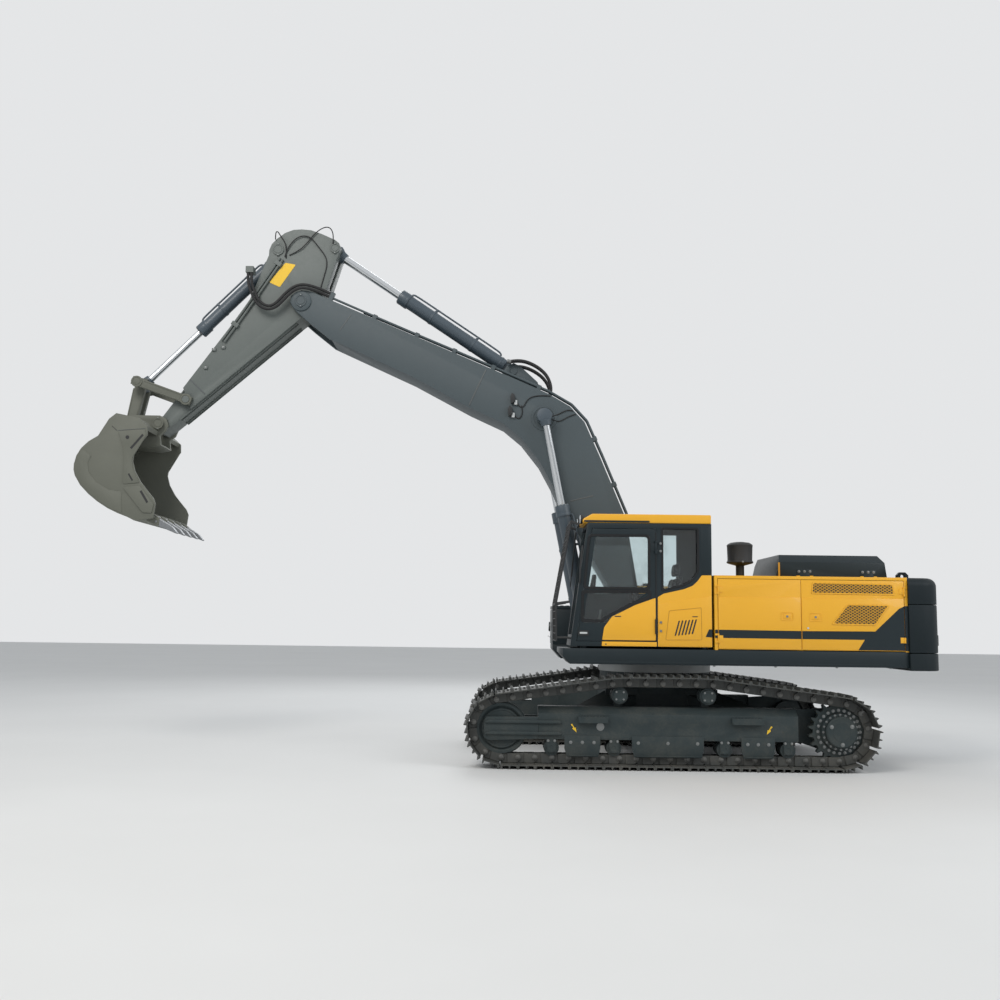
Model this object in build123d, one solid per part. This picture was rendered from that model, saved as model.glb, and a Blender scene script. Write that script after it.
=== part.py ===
from build123d import *
import os
from math import atan2, cos, degrees, hypot, pi, radians, sin, sqrt, tan

# Crawler excavator of the 38-tonne class, in millimetres.
# +X is forward, towards the bucket, +Y is left, the cab's side, and +Z is up.
# The origin is on the ground under the swing axis.

# ---------------------------------------------------------------- clearances
GAP = 0.3            # a face that rests on, or slides past, its neighbour
RUNNING = 0.05       # radial clearance of a pin in its bore
SIDE_GAP = 6.0       # side clearance of an eye between two ears
SHUT_GAP = 6.0       # gap round a shut door or lid

# ------------------------------------------------------------- undercarriage
TUMBLER_DISTANCE = 4340.0     # sprocket centre to idler centre
GAUGE = 2740.0                # centre to centre of the tracks
SHOE_WIDTH = 600.0
SHOE_COUNT = 51
SHOE_PLATE = 18.0
GROUSER_HEIGHT = 37.0
GROUSER_WIDTH = 24.0
SHOE_GAP = 9.0                # between one shoe plate and the next
PITCH_TO_SHOE = 70.0          # pin line to the under side of a shoe
PITCH_TO_RAIL = 50.0          # pin line to the running face of the links
PITCH_RADIUS = 366.5          # pin line round the sprocket and the idler
LINK_WIDTH = 46.0
LINK_OFFSET = 82.0            # track centre line to the centre of a link
CARRIER_RADIUS = 105.0
CARRIER_HEIGHT = 920.0
CARRIER_PLACES = (655.0, -477.0)
ROLLER_RADIUS = 80.0
ROLLER_FLANGE = 18.0
ROLLER_PLACES = (1530.0, 1130.0, 730.0, 265.0, -230.0, -680.0, -1095.0, -1490.0)
FRAME_BOTTOM = 364.0
FRAME_SHOULDER = 685.0
FRAME_TOP = 770.0
FRAME_FRONT = TUMBLER_DISTANCE / 2 - 470.0
FRAME_REAR = 420.0 - TUMBLER_DISTANCE / 2
FRAME_OUTER = 150.0           # outer face, from the track's centre line
FRAME_INNER = 150.0           # inner face, from the track's centre line
IDLER_HALF = 104.0
IDLER_SHAFT = 60.0
SPROCKET_TEETH = 21
SPROCKET_WIDTH = 76.0
HUB_RADIUS = 200.0
SLEW_RADIUS = 785.0
SLEW_BOTTOM = 1180.0
BELLY = 540.0                 # ground clearance under the centre frame

# ------------------------------------------------------------ upper structure
DECK_BOTTOM = 1314.0
DECK_TOP = 1515.0
DECK_HALF_WIDTH = 1450.0
DECK_FRONT = 1420.0
BOOM_HALF = 330.0             # half width of the boom
WEB_OFFSET = BOOM_HALF + 32.0  # centre of a boom-foot web from the middle
BOOM_CYLINDER_PLACE = WEB_OFFSET + 123.0  # centre of a boom cylinder from the middle
DECK_INNER = BOOM_CYLINDER_PLACE + 125.0  # inner edge of the front side decks
WEB_THICK = 40.0
BOSS_PROUD = 6.0              # how far a pin boss stands out of its plate
BASE_PLATE = 46.0
BODY_TOP = 2480.0             # top of the side bodies and the counterweight
HOOD_TOP = 2800.0
SEAM_CAB = -582.0             # end of the cab, start of the engine body
SEAM_DOORS = -1707.0          # meeting line of the two side doors
SEAM_WEIGHT = -3090.0         # front face of the counterweight
TAIL_RADIUS = 3650.0          # slew axis to the tail at its middle
TAIL_ARC = 7000.0             # plan radius of the tail's back
TAIL_CORNER = 260.0           # rounding of the tail's upright corners
TAIL_RIM = 110.0              # rounding of the tail's top edge
TAIL_SPREAD = 40.0            # the tail is this much wider a side than the deck
LUG_PLACE = 620.0             # a lifting lug, from the middle
DECK_REAR = SEAM_WEIGHT + GAP
TAIL_DROP = 35.0              # the counterweight hangs this far under the deck
PANEL = 40.0                  # body panel thickness
HOOD_FRONT, HOOD_REAR = -1525.0, -3035.0
HOOD_LEFT, HOOD_RIGHT = 900.0, -500.0
HOOD_HINGE_PLACES = (-1914.0, -2776.0)
HOOD_HINGE_HEIGHT = BODY_TOP + 20.0
HOOD_CHAMFER = 100.0
LID_THICK = 46.0
TOOL_BOX_REAR = 570.0
TOOL_BOX_TOP = 2040.0
FUEL_TANK_FRONT = 560.0
TANK_SKIN = 12.0
PUMP_DOOR_FRONT = -1480.0

# ------------------------------------------------------------------------ cab
CAB_OUTER = DECK_HALF_WIDTH - 10.0
CAB_INNER = DECK_INNER + 15.0
CAB_WALL = 60.0
CAB_FLOOR = 1545.0            # under side of the cab, on its mounts
CAB_CEILING = 3150.0
CAB_ROOF_TOP = 3270.0
CAB_REAR = -552.0
CAB_FOOT_FRONT = 1290.0       # front of the cab at its floor
CAB_HEAD_FRONT = 1070.0       # front of the cab under its roof
DOOR_REAR = 172.0             # rear edge of the door
CAB_HINGE_SPANS = ((1710.0, 1900.0), (2750.0, 2920.0))
GLASS = 6.0

# ----------------------------------------------- work equipment, pins at rest
# Each pin is (X, Z).
BOOM_FOOT = (330.0, 2070.0)
BOOM_CYLINDER_FOOT = (960.0, 1490.0)
BOOM_CYLINDER_HEAD = (1611.0, 4757.0)
ARM_CYLINDER_FOOT = (2050.0, 5490.0)
ARM_PIN = (5156.0, 6436.0)
ARM_CYLINDER_HEAD = (4697.0, 7263.0)
BUCKET_CYLINDER_FOOT = (5533.0, 7232.0)
GUIDE_PIN = (6772.0, 4968.0)
BUCKET_PIN = (7153.0, 4608.0)
LINK_PIN = (7492.0, 5224.0)
BUCKET_LINK_PIN = (7610.0, 4620.0)

BOOM_WALL = 20.0
ARM_WALL = 20.0
BOOM_EAR = 64.0               # thickness of each ear at the boom's tip
ARM_HALF = BOOM_HALF - BOOM_EAR - 16.0   # half width of the arm
ARM_NOSE_HALF = ARM_HALF - 60.0          # half width of the arm's bucket end
BUCKET_HALF = 785.0
BUCKET_EAR = 50.0
BUCKET_EAR_PLACE = ARM_NOSE_HALF + BUCKET_EAR / 2 + 11.0  # a bucket ear, from the middle
BUCKET_SKIN = 22.0

PIN_BOOM_FOOT, PIN_ARM, PIN_CYLINDER, PIN_BUCKET = 60.0, 60.0, 50.0, 50.0

EYE_NECK = 165.0              # from a barrel's foot pin to the start of its tube

# Cylinders: barrel radius, rod radius, eye radius, eye width, the length from
# the foot pin to the end of the gland, and pin to pin when fully closed.
BOOM_CYLINDER = dict(barrel=90.0, rod=52.0, eye=105.0, width=110.0, gland=2020.0, closed=2245.0)
ARM_CYLINDER = dict(barrel=100.0, rod=57.0, eye=115.0, width=120.0, gland=2034.0, closed=2440.0)
BUCKET_CYLINDER = dict(barrel=88.0, rod=50.0, eye=100.0, width=110.0, gland=1652.0, closed=2210.0)

# --------------------------------------------------------------------- hinges
# Pin radius, knuckle radius, and the pin's distance out from the leaf's skin.
BODY_HINGE = dict(pin=6.0, knuckle=10.0, stand=11.0)
CAB_HINGE = dict(pin=9.0, knuckle=15.0, stand=16.0)
STRAP = 8.0                   # how far a hinge's strap stands out of its skin
STRAP_REACH = 60.0
JAMB_REACH = 44.0

# --------------------------------------------------------------- pipes and rails
PIPE = 17.0                   # radius of a hydraulic pipe
HOSE = 21.0                   # radius of a hose
PIPE_PLACE = BOOM_HALF - 38.0  # a boom pipe, from the middle
PIPE_STAND = 45.0             # pipe centre above the plate that it runs along
CLAMP_HALF = 30.0             # half length of a pipe clamp
GUARD_BAR = 30.0              # section of the windscreen guard's bars
HOSE_PLACE = BOOM_HALF + HOSE + 26   # a free hose, from the middle
HOSE_PITCH = 48.0             # from one hose to the next
# Where the free hoses pass over the boom's tip to the arm, as (X, Z).
HOSE_SWEEP = [
    (5050.0, 6615.0), (5150.0, 6625.0), (5245.0, 6590.0), (5330.0, 6520.0), (5415.0, 6420.0),
    (5505.0, 6330.0), (5610.0, 6290.0), (5720.0, 6325.0), (5815.0, 6415.0), (5880.0, 6560.0),
    (5930.0, 6700.0),
]
HOSE_TOP = (5930.0, 6840.0)


# --------------------------------------------------------------- small helpers
def box(x, y, z):
    """A block from three (low, high) pairs."""
    size = [high - low for low, high in (x, y, z)]
    middle = [(high + low) / 2 for low, high in (x, y, z)]
    return Pos(*middle) * Box(*size)


def slab_xz(points, y):
    """A plate cut to an outline of (X, Z) points, between two Y values."""
    low, high = y
    plane = Plane(origin=(0, high, 0), x_dir=(1, 0, 0), z_dir=(0, -1, 0))
    return extrude(plane * Polygon(*points, align=None), high - low, dir=(0, -1, 0))


def hollow_xz(points, half, wall):
    """A closed box beam of an (X, Z) outline, with walls all round."""
    room = Plane(origin=(0, half - wall, 0), x_dir=(1, 0, 0), z_dir=(0, -1, 0))
    inside = room * offset(Polygon(*points, align=None), -wall, kind=Kind.INTERSECTION)
    return slab_xz(points, both(half)) - extrude(inside, 2 * (half - wall), dir=(0, -1, 0))


def hollow_box(x, y, z, wall):
    """A closed tank from three (low, high) pairs."""
    inside = [(low + wall, high - wall) for low, high in (x, y, z)]
    return box(x, y, z) - box(*inside)


def slab_yz(points, x):
    """A bar of the section given by (Y, Z) points, between two X values."""
    low, high = x
    plane = Plane(origin=(low, 0, 0), x_dir=(0, 1, 0), z_dir=(1, 0, 0))
    return extrude(plane * Polygon(*points, align=None), high - low, dir=(1, 0, 0))


def slab_xy(points, z):
    """A plate of the plan given by (X, Y) points, between two Z values."""
    low, high = z
    return Pos(0, 0, low) * extrude(Polygon(*points, align=None), high - low, dir=(0, 0, 1))


def round_y(place, radius, y):
    """A round bar along Y through (X, Z)."""
    low, high = y
    middle = Pos(place[0], (low + high) / 2, place[1])
    return middle * Rot(90, 0, 0) * Cylinder(radius, high - low)


def round_x(place, radius, x):
    """A round bar along X through (Y, Z)."""
    low, high = x
    middle = Pos((low + high) / 2, place[0], place[1])
    return middle * Rot(0, 90, 0) * Cylinder(radius, high - low)


def round_z(place, radius, z):
    """A round bar along Z through (X, Y)."""
    low, high = z
    return Pos(place[0], place[1], (low + high) / 2) * Cylinder(radius, high - low)


def both(half):
    """(low, high) of a width centred on the middle."""
    return (-half, half)


def mirror_y(shape):
    return mirror(shape, Plane.XZ)


def direction(start, end):
    """Length and angle, in degrees, from one (X, Z) point to another."""
    dx, dz = end[0] - start[0], end[1] - start[1]
    return hypot(dx, dz), degrees(atan2(dz, dx))


def along(start, end, distance, offset=0.0):
    """The (X, Z) point this far from start towards end, and offset to the left."""
    length = hypot(end[0] - start[0], end[1] - start[1])
    ux, uz = (end[0] - start[0]) / length, (end[1] - start[1]) / length
    return (start[0] + distance * ux - offset * uz, start[1] + distance * uz + offset * ux)


def laid(shape, start, end, y=0.0):
    """A shape built along +X from the origin, laid from start towards end."""
    angle = direction(start, end)[1]
    return Pos(start[0], y, start[1]) * Rot(0, -angle, 0) * shape


def hinge(size, spans, block, reach=STRAP_REACH):
    """Hinges about the Z axis: (the leaf's knuckles, the frame's knuckles with pins).

    The leaf lies to +X and its skin faces +Y, at minus the hinge's stand.
    The block, as (low, high) in X and in Y, joins the frame's knuckles to it.
    """
    pin, knuckle, stand = size["pin"], size["knuckle"], size["stand"]
    strap = (-stand - 1, STRAP - stand)
    leaf, frame = [], []
    for low, high in spans:
        lower, upper = low + 0.2 * (high - low), high - 0.2 * (high - low)
        middle = round_z((0, 0), knuckle, (lower, upper)) + box((0, reach), strap, (lower, upper))
        leaf.append(middle - round_z((0, 0), pin + RUNNING, (low, high)))
        ends = round_z((0, 0), pin, (low, high))
        for end in ((low, lower - GAP), (upper + GAP, high)):
            ends += round_z((0, 0), knuckle, end) + box(*block, end)
        frame.append(ends)
    return leaf, frame


def fused(shape, *parts):
    """One solid of a shape and the parts that meet it."""
    for part in parts:
        shape += part
    return shape


NODES = {}


def keep(name, *shapes):
    """Keep the shapes as one node; separate solids stay separate."""
    solids = []
    for shape in shapes:
        solids += list(shape.solids())
    NODES[name] = solids[0] if len(solids) == 1 else Compound(children=solids)


# --------------------------------------------------------------------- tracks
WHEEL_HEIGHT = PITCH_RADIUS + PITCH_TO_SHOE + SHOE_PLATE + GROUSER_HEIGHT
TRACK_CENTRE = GAUGE / 2
IDLER_PLACE = (TUMBLER_DISTANCE / 2, WHEEL_HEIGHT)
SPROCKET_PLACE = (-TUMBLER_DISTANCE / 2, WHEEL_HEIGHT)


def belt_path():
    """The pin line as (kind, data, length) pieces: lines, and arcs round wheels.

    It runs round the idler, over the carrier rollers, round the sprocket and
    back along the ground.
    """
    wheels = [(IDLER_PLACE, PITCH_RADIUS)]
    wheels += [((x, CARRIER_HEIGHT), CARRIER_RADIUS + PITCH_TO_RAIL) for x in CARRIER_PLACES]
    wheels += [(SPROCKET_PLACE, PITCH_RADIUS)]
    normals = []
    for (c1, r1), (c2, r2) in zip(wheels, wheels[1:] + wheels[:1]):
        length, angle = direction(c1, c2)
        normals.append(radians(angle) - pi / 2 - atan2(r2 - r1, sqrt(length**2 - (r2 - r1) ** 2)))
    pieces = []
    for i, (centre, radius) in enumerate(wheels):
        n_in, n_out = normals[i - 1], normals[i]
        turn = (n_out - n_in) % (2 * pi)
        if turn > 1.5 * pi:
            turn -= 2 * pi
        pieces.append(("arc", centre, radius, n_in, turn))
        nxt, nxt_radius = wheels[(i + 1) % len(wheels)]
        start = (centre[0] + radius * cos(n_out), centre[1] + radius * sin(n_out))
        end = (nxt[0] + nxt_radius * cos(n_out), nxt[1] + nxt_radius * sin(n_out))
        pieces.append(("line", start, end, n_out, 0.0))
    return pieces


def path_length(piece):
    if piece[0] == "arc":
        return piece[2] * abs(piece[4])
    return hypot(piece[2][0] - piece[1][0], piece[2][1] - piece[1][1])


def path_point(pieces, distance, offset):
    """(X, Z) at a distance along the path, moved outwards by an offset."""
    distance %= sum(path_length(p) for p in pieces)
    for piece in pieces:
        length = path_length(piece)
        if distance <= length:
            break
        distance -= length
    if piece[0] == "arc":
        _, centre, radius, first, turn = piece
        angle = first + turn * distance / length
        reach = radius + offset
        return (centre[0] + reach * cos(angle), centre[1] + reach * sin(angle))
    _, start, end, normal, _ = piece
    share = distance / length
    return (
        start[0] + share * (end[0] - start[0]) + offset * cos(normal),
        start[1] + share * (end[1] - start[1]) + offset * sin(normal),
    )


def belt_slab(pieces, offset, y):
    """The whole inside of the belt, out to an offset from the pin line."""
    plane = Plane(origin=(0, y[1], 0), x_dir=(1, 0, 0), z_dir=(0, -1, 0))
    edges = []
    for piece in pieces:
        if piece[0] == "arc":
            _, centre, radius, first, turn = piece
            reach = radius + offset
            at = [(centre[0] + reach * cos(first + turn * t), centre[1] + reach * sin(first + turn * t))
                  for t in (0.0, 0.5, 1.0)]
            edges.append(ThreePointArc(*at))
        else:
            _, start, end, normal, _ = piece
            shift = (offset * cos(normal), offset * sin(normal))
            ends = [(point[0] + shift[0], point[1] + shift[1]) for point in (start, end)]
            edges.append(Line(*ends))
    return extrude(plane * make_face(Curve() + edges), y[1] - y[0], dir=(0, -1, 0))


def track(side):
    """One track: shoes with three grousers each, on two rows of links."""
    pieces = belt_path()
    total = sum(path_length(p) for p in pieces)
    pitch = total / SHOE_COUNT
    half = pitch / 2 - SHOE_GAP / 2
    plate_out = PITCH_TO_SHOE + SHOE_PLATE
    tip = plate_out + GROUSER_HEIGHT
    bar = GROUSER_WIDTH / 2
    # (distance from the shoe's middle, offset from the pin line)
    shoe = [(-half, PITCH_TO_SHOE + 1), (-half, plate_out)]
    for middle in (-half + bar, 0.0, half - bar):
        shoe += [(middle - bar, plate_out), (middle - bar * 0.6, tip)]
        shoe += [(middle + bar * 0.6, tip), (middle + bar, plate_out)]
    shoe += [(half, PITCH_TO_SHOE + 1)]
    outline = []
    for i in range(SHOE_COUNT):
        for step, offset in shoe:
            point = path_point(pieces, (i + 0.5) * pitch + step, offset)
            if not outline or hypot(point[0] - outline[-1][0], point[1] - outline[-1][1]) > 0.5:
                outline.append(point)
    middle = side * TRACK_CENTRE
    shoes = slab_xz(outline, (middle - SHOE_WIDTH / 2, middle + SHOE_WIDTH / 2))
    shoes -= belt_slab(pieces, PITCH_TO_SHOE - 6, (middle - SHOE_WIDTH, middle + SHOE_WIDTH))
    result = shoes
    for place in (middle - LINK_OFFSET, middle + LINK_OFFSET):
        span = (place - LINK_WIDTH / 2, place + LINK_WIDTH / 2)
        rail = belt_slab(pieces, PITCH_TO_SHOE, span)
        rail -= belt_slab(pieces, -PITCH_TO_RAIL, (span[0] - 1, span[1] + 1))
        result += rail
    return result


# -------------------------------------------------------------- undercarriage
def turned_y(profile, place):
    """A wheel turned about Y: profile is (offset along Y, radius) points."""
    outline = [(profile[0][0], 0.0)] + list(profile) + [(profile[-1][0], 0.0)]
    plane = Plane(origin=(place[0], place[1], place[2]), x_dir=(0, 1, 0), z_dir=(1, 0, 0))
    return revolve(plane * Polygon(*outline, align=None), Axis((place[0], place[1], place[2]), (0, 1, 0)))


def idler(side):
    tread = PITCH_RADIUS - PITCH_TO_RAIL - GAP
    flange = tread + 18
    half, guide = IDLER_HALF, LINK_OFFSET - LINK_WIDTH / 2 - 4
    # (offset along the axle, radius), outer half of the wheel
    rim = [(guide, flange), (guide, tread), (half, tread), (half, tread - 30)]
    rim += [(half - 24, tread - 60), (half - 24, 120), (half + 4, 110), (half + 4, IDLER_SHAFT)]
    rim += [(FRAME_OUTER - 2, IDLER_SHAFT)]
    profile = [(-y, r) for y, r in reversed(rim)] + rim
    return turned_y(profile, (IDLER_PLACE[0], side * TRACK_CENTRE, IDLER_PLACE[1]))


def sprocket(side):
    """Toothed ring, and the stepped final drive that it is bolted to."""
    root = PITCH_RADIUS - 34
    tip = PITCH_RADIUS + 22
    outline = []
    for i in range(SPROCKET_TEETH):
        for share, reach in ((0.0, root), (0.22, root), (0.42, tip), (0.58, tip), (0.78, root)):
            angle = 2 * pi * (i + share) / SPROCKET_TEETH
            outline.append((reach * cos(angle), reach * sin(angle)))
    half = SPROCKET_WIDTH / 2
    ring = slab_xz(outline, both(half))
    # (offset outwards from the track's centre line, radius)
    drive = [(-FRAME_INNER - 150, 150), (-FRAME_INNER - 150, 205)]
    drive += [(-FRAME_INNER + GAP, 205), (-FRAME_INNER + GAP, 262), (-half - 10, 262)]
    drive += [(-half - 10, 295), (half + 8, 295)]
    drive += [(half + 8, 245), (half + 70, 235), (half + 70, HUB_RADIUS), (half + 128, HUB_RADIUS)]
    drive += [(half + 140, HUB_RADIUS - 14)]
    body = turned_y(drive, (0, 0, 0)) + ring
    if side < 0:
        body = mirror_y(body)
    return Pos(SPROCKET_PLACE[0], side * TRACK_CENTRE, SPROCKET_PLACE[1]) * body


def bottom_roller(x, side):
    """Two flanged treads on a shaft held by a block at each end."""
    centre = PITCH_TO_RAIL + ROLLER_RADIUS + WHEEL_HEIGHT - PITCH_RADIUS + GAP
    rim = ROLLER_RADIUS + ROLLER_FLANGE
    inner, outer = LINK_OFFSET - LINK_WIDTH / 2 - 5, LINK_OFFSET + LINK_WIDTH / 2 + 5
    half = [(inner - 20, 62), (inner - 20, rim), (inner, rim - 6), (inner, ROLLER_RADIUS)]
    half += [(outer, ROLLER_RADIUS), (outer, rim - 6), (outer + 14, rim), (outer + 14, 50)]
    profile = [(-y, r) for y, r in reversed(half)] + half
    wheel = turned_y(profile, (x, side * TRACK_CENTRE, centre))
    for end in (-1, 1):
        y = side * TRACK_CENTRE + end * (outer + 26)
        wheel += box((x - 62, x + 62), (y - 13, y + 13), (centre - 52, FRAME_BOTTOM - GAP))
    return wheel


def carrier_roller(x, side):
    place = (x, side * TRACK_CENTRE, CARRIER_HEIGHT)
    inner, outer = LINK_OFFSET - LINK_WIDTH / 2 - 5, LINK_OFFSET + LINK_WIDTH / 2 + 5
    tread = CARRIER_RADIUS - GAP
    profile = [(-outer - 8, 62), (-outer - 8, tread), (-inner, tread), (-inner, tread - 20)]
    profile += [(inner, tread - 20), (inner, tread), (outer + 8, tread), (outer + 20, 62)]
    wheel = turned_y(profile, place)
    foot_top = CARRIER_HEIGHT - 40
    foot_y = place[1] - side * 150
    wheel += box((x - 45, x + 45), (foot_y - 22, foot_y + 22), (FRAME_TOP + GAP, foot_top + 70))
    wheel += round_y((x, CARRIER_HEIGHT), 34, sorted((place[1] - side * 165, place[1])))
    return wheel


def track_frame(side):
    """Box beam with a sloping shoulder, idler yoke, drive plate and guards."""
    def y(reach):
        return side * (TRACK_CENTRE + reach)

    section = [(y(-FRAME_INNER), FRAME_BOTTOM), (y(FRAME_OUTER), FRAME_BOTTOM)]
    section += [(y(FRAME_OUTER), FRAME_SHOULDER), (y(30), FRAME_TOP), (y(-FRAME_INNER), FRAME_TOP)]
    frame = slab_yz(section, (FRAME_REAR + 130, FRAME_FRONT))
    # yoke plates on both sides of the idler
    tip = IDLER_PLACE[0] + 210
    for place in (-FRAME_INNER + 15, FRAME_OUTER - 15):
        side_span = sorted((y(place - 15), y(place + 15)))
        plate = [(FRAME_FRONT - 20, WHEEL_HEIGHT - 120), (tip - 60, WHEEL_HEIGHT - 150)]
        plate += [(tip, WHEEL_HEIGHT - 60), (tip, WHEEL_HEIGHT + 90)]
        plate += [(tip - 90, WHEEL_HEIGHT + 150), (FRAME_FRONT - 20, WHEEL_HEIGHT + 150)]
        frame += slab_xz(plate, side_span)
    axle = (IDLER_PLACE[0], IDLER_PLACE[1])
    frame -= round_y(axle, IDLER_SHAFT + RUNNING, sorted((y(-FRAME_INNER - 50), y(FRAME_OUTER + 50))))
    # plate that carries the final drive
    plate = [(FRAME_REAR + 140, FRAME_BOTTOM), (FRAME_REAR + 140, FRAME_SHOULDER + 60)]
    plate += [(SPROCKET_PLACE[0] + 60, WHEEL_HEIGHT + 290), (SPROCKET_PLACE[0] - 160, WHEEL_HEIGHT + 240)]
    plate += [(SPROCKET_PLACE[0] - 280, WHEEL_HEIGHT)]
    plate += [(SPROCKET_PLACE[0] - 160, WHEEL_HEIGHT - 240), (SPROCKET_PLACE[0] + 60, WHEEL_HEIGHT - 290)]
    frame += slab_xz(plate, sorted((y(-FRAME_INNER), y(-FRAME_INNER - 36))))
    frame -= round_y(SPROCKET_PLACE, 205 + RUNNING, sorted((y(-FRAME_INNER + 5), y(-FRAME_INNER - 50))))
    # rock guards hung under the beam, outside the rollers
    for low, high in ((938, 1335), (-380, 475), (-1284, -918)):
        guard = [(low, 150), (high, 150), (high + 30, 250), (high + 30, FRAME_BOTTOM + 1)]
        guard += [(low - 30, FRAME_BOTTOM + 1), (low - 30, 250)]
        guard[3:5] = [(high + 30, FRAME_BOTTOM + 50), (low - 30, FRAME_BOTTOM + 50)]
        frame += slab_xz(guard, sorted((y(FRAME_OUTER), y(FRAME_OUTER + 18))))
    # two steps welded on the shoulder
    for low, high in ((809, 1195), (-1174, -766)):
        frame += box((low, high), sorted((y(FRAME_OUTER - 2), y(FRAME_OUTER + 62))),
                     (FRAME_SHOULDER - 105, FRAME_SHOULDER - 30))
    return frame


def centre_frame():
    """Pedestal under the slew ring, and four sloping legs to the track frames."""
    body = box((-760, 760), (-700, 700), (BELLY, 960))
    body += round_z((0, 0), SLEW_RADIUS - 15, (900, SLEW_BOTTOM - GAP))
    body -= box((-720, 720), (-660, 660), (BELLY + 30, 930))
    body -= round_z((0, 0), SLEW_RADIUS - 200, (BELLY + 200, SLEW_BOTTOM + 5))
    inner_face = TRACK_CENTRE - FRAME_INNER - GAP
    for front in (-1, 1):
        for side in (-1, 1):
            foot = Plane(origin=(front * 1120, side * inner_face, 560), x_dir=(1, 0, 0), z_dir=(0, side, 0))
            root = Plane(origin=(front * 470, side * 560, 740), x_dir=(1, 0, 0), z_dir=(0, side, 0))
            body += loft([root * Rectangle(560, 380), foot * Rectangle(360, 300)])
    return body


# ------------------------------------------------------------ upper structure
FOOT_INNER = WEB_OFFSET - WEB_THICK / 2 - BOSS_PROUD
FOOT_OUTER = WEB_OFFSET + WEB_THICK / 2 + BOSS_PROUD


def main_frame():
    """Deck with two webs that carry the boom foot and its cylinders."""
    frame = box((DECK_REAR, DECK_FRONT - 470), both(DECK_INNER), (DECK_BOTTOM, DECK_BOTTOM + BASE_PLATE))
    for side in (-1, 1):
        edge = side * DECK_HALF_WIDTH
        inner = side * DECK_INNER
        plan = [(DECK_REAR, edge), (DECK_FRONT - 130, edge), (DECK_FRONT - 38, edge - side * 38)]
        plan += [(DECK_FRONT, edge - side * 130), (DECK_FRONT, inner), (DECK_REAR, inner)]
        deck = slab_xy(plan, (DECK_BOTTOM, DECK_TOP))
        deck -= box((DECK_REAR + 20, DECK_FRONT - 200), sorted((inner + side * 20, edge - side * 20)),
                    (DECK_BOTTOM + 12, DECK_TOP - 12))
        toe = [(DECK_FRONT + 5, DECK_TOP - 60), (DECK_FRONT + 5, DECK_BOTTOM - 5)]
        toe.append((DECK_FRONT - 130, DECK_BOTTOM - 5))
        deck -= slab_xz(toe, sorted((inner - side * 5, edge + side * 5)))
        frame += deck
    web = [(DECK_REAR, DECK_BOTTOM), (940, DECK_BOTTOM), (940, 1700), (720, 1900), (560, 2140)]
    web += [(430, 2215), (230, 2215), (80, 2120), (-420, 1900), (-1600, 1700), (DECK_REAR, 1700)]
    for side in (-1, 1):
        span = sorted((side * (WEB_OFFSET - WEB_THICK / 2), side * (WEB_OFFSET + WEB_THICK / 2)))
        frame += slab_xz(web, span)
        frame += round_y(BOOM_FOOT, 150, sorted((side * FOOT_INNER, side * FOOT_OUTER)))
    frame += box((-1600, -1560), both(WEB_OFFSET), (DECK_BOTTOM, 1700))
    frame += box((-420, -380), both(WEB_OFFSET), (DECK_BOTTOM, 1640))
    # ears for the feet of the boom cylinders
    eye_half = BOOM_CYLINDER["width"] / 2 + SIDE_GAP
    for side in (-1, 1):
        for offset in (-eye_half - 17, eye_half + 17):
            y = side * BOOM_CYLINDER_PLACE + offset
            ear = [(760, DECK_BOTTOM), (1000, DECK_BOTTOM), (1060, 1400), (1075, 1490), (1040, 1575)]
            ear += [(960, 1610), (870, 1590), (760, 1560)]
            frame += slab_xz(ear, (y - 17, y + 17))
    frame += box((700, 790), both(DECK_INNER), (DECK_BOTTOM, 1500))
    frame -= round_y(BOOM_CYLINDER_FOOT, PIN_CYLINDER + RUNNING, both(DECK_INNER - 5))
    frame -= round_y(BOOM_FOOT, PIN_BOOM_FOOT + RUNNING, both(FOOT_OUTER + 10))
    frame += round_z((0, 0), SLEW_RADIUS - 60, (DECK_BOTTOM - 4, DECK_BOTTOM + 30))
    return frame


def counterweight():
    """Cast weight with a rounded tail, and two bores through lifting lugs."""
    low = DECK_BOTTOM - TAIL_DROP
    half = DECK_HALF_WIDTH + TAIL_SPREAD
    weight = round_z((TAIL_ARC - TAIL_RADIUS, 0), TAIL_ARC, (low, BODY_TOP))
    weight = weight & box((-TAIL_RADIUS, SEAM_WEIGHT), both(half), (low, BODY_TOP))
    corners = weight.edges().filter_by(Axis.Z).sort_by(Axis.X)[:2]
    weight = fillet(corners, TAIL_CORNER)
    rim = weight.edges().group_by(Axis.Z)[-1].sort_by(Axis.X)[:-1]
    weight = fillet(rim, TAIL_RIM)
    for side in (-1, 1):
        y = side * LUG_PLACE
        lug = [(-3420, BODY_TOP - 1), (-3420, BODY_TOP + 70), (-3380, BODY_TOP + 110)]
        lug += [(-3300, BODY_TOP + 110), (-3260, BODY_TOP + 70), (-3260, BODY_TOP - 1)]
        weight += slab_xz(lug, (y - 30, y + 30))
        weight -= round_y((-3340, BODY_TOP + 50), 30, (y - 40, y + 40))
    return weight


def hood_form(inset):
    """The hood's outside, or its inside at an inset from it, open below."""
    low = BODY_TOP + SHUT_GAP - inset
    top, shoulder = HOOD_TOP - inset, HOOD_TOP - HOOD_CHAMFER - inset * 0.6
    left, right = HOOD_LEFT - inset, HOOD_RIGHT + inset
    cut = HOOD_CHAMFER
    section = [(right, low), (left, low), (left, shoulder), (left - cut, top)]
    section += [(right + cut, top), (right, shoulder)]
    front, rear = HOOD_FRONT - inset, HOOD_REAR + inset
    profile = [(rear, low), (front, low), (front - 50, shoulder), (front - 70, top)]
    profile += [(rear + 95, top), (rear + 30, shoulder)]
    return slab_yz(section, (rear, front)) & slab_xz(profile, (right, left))


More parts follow.
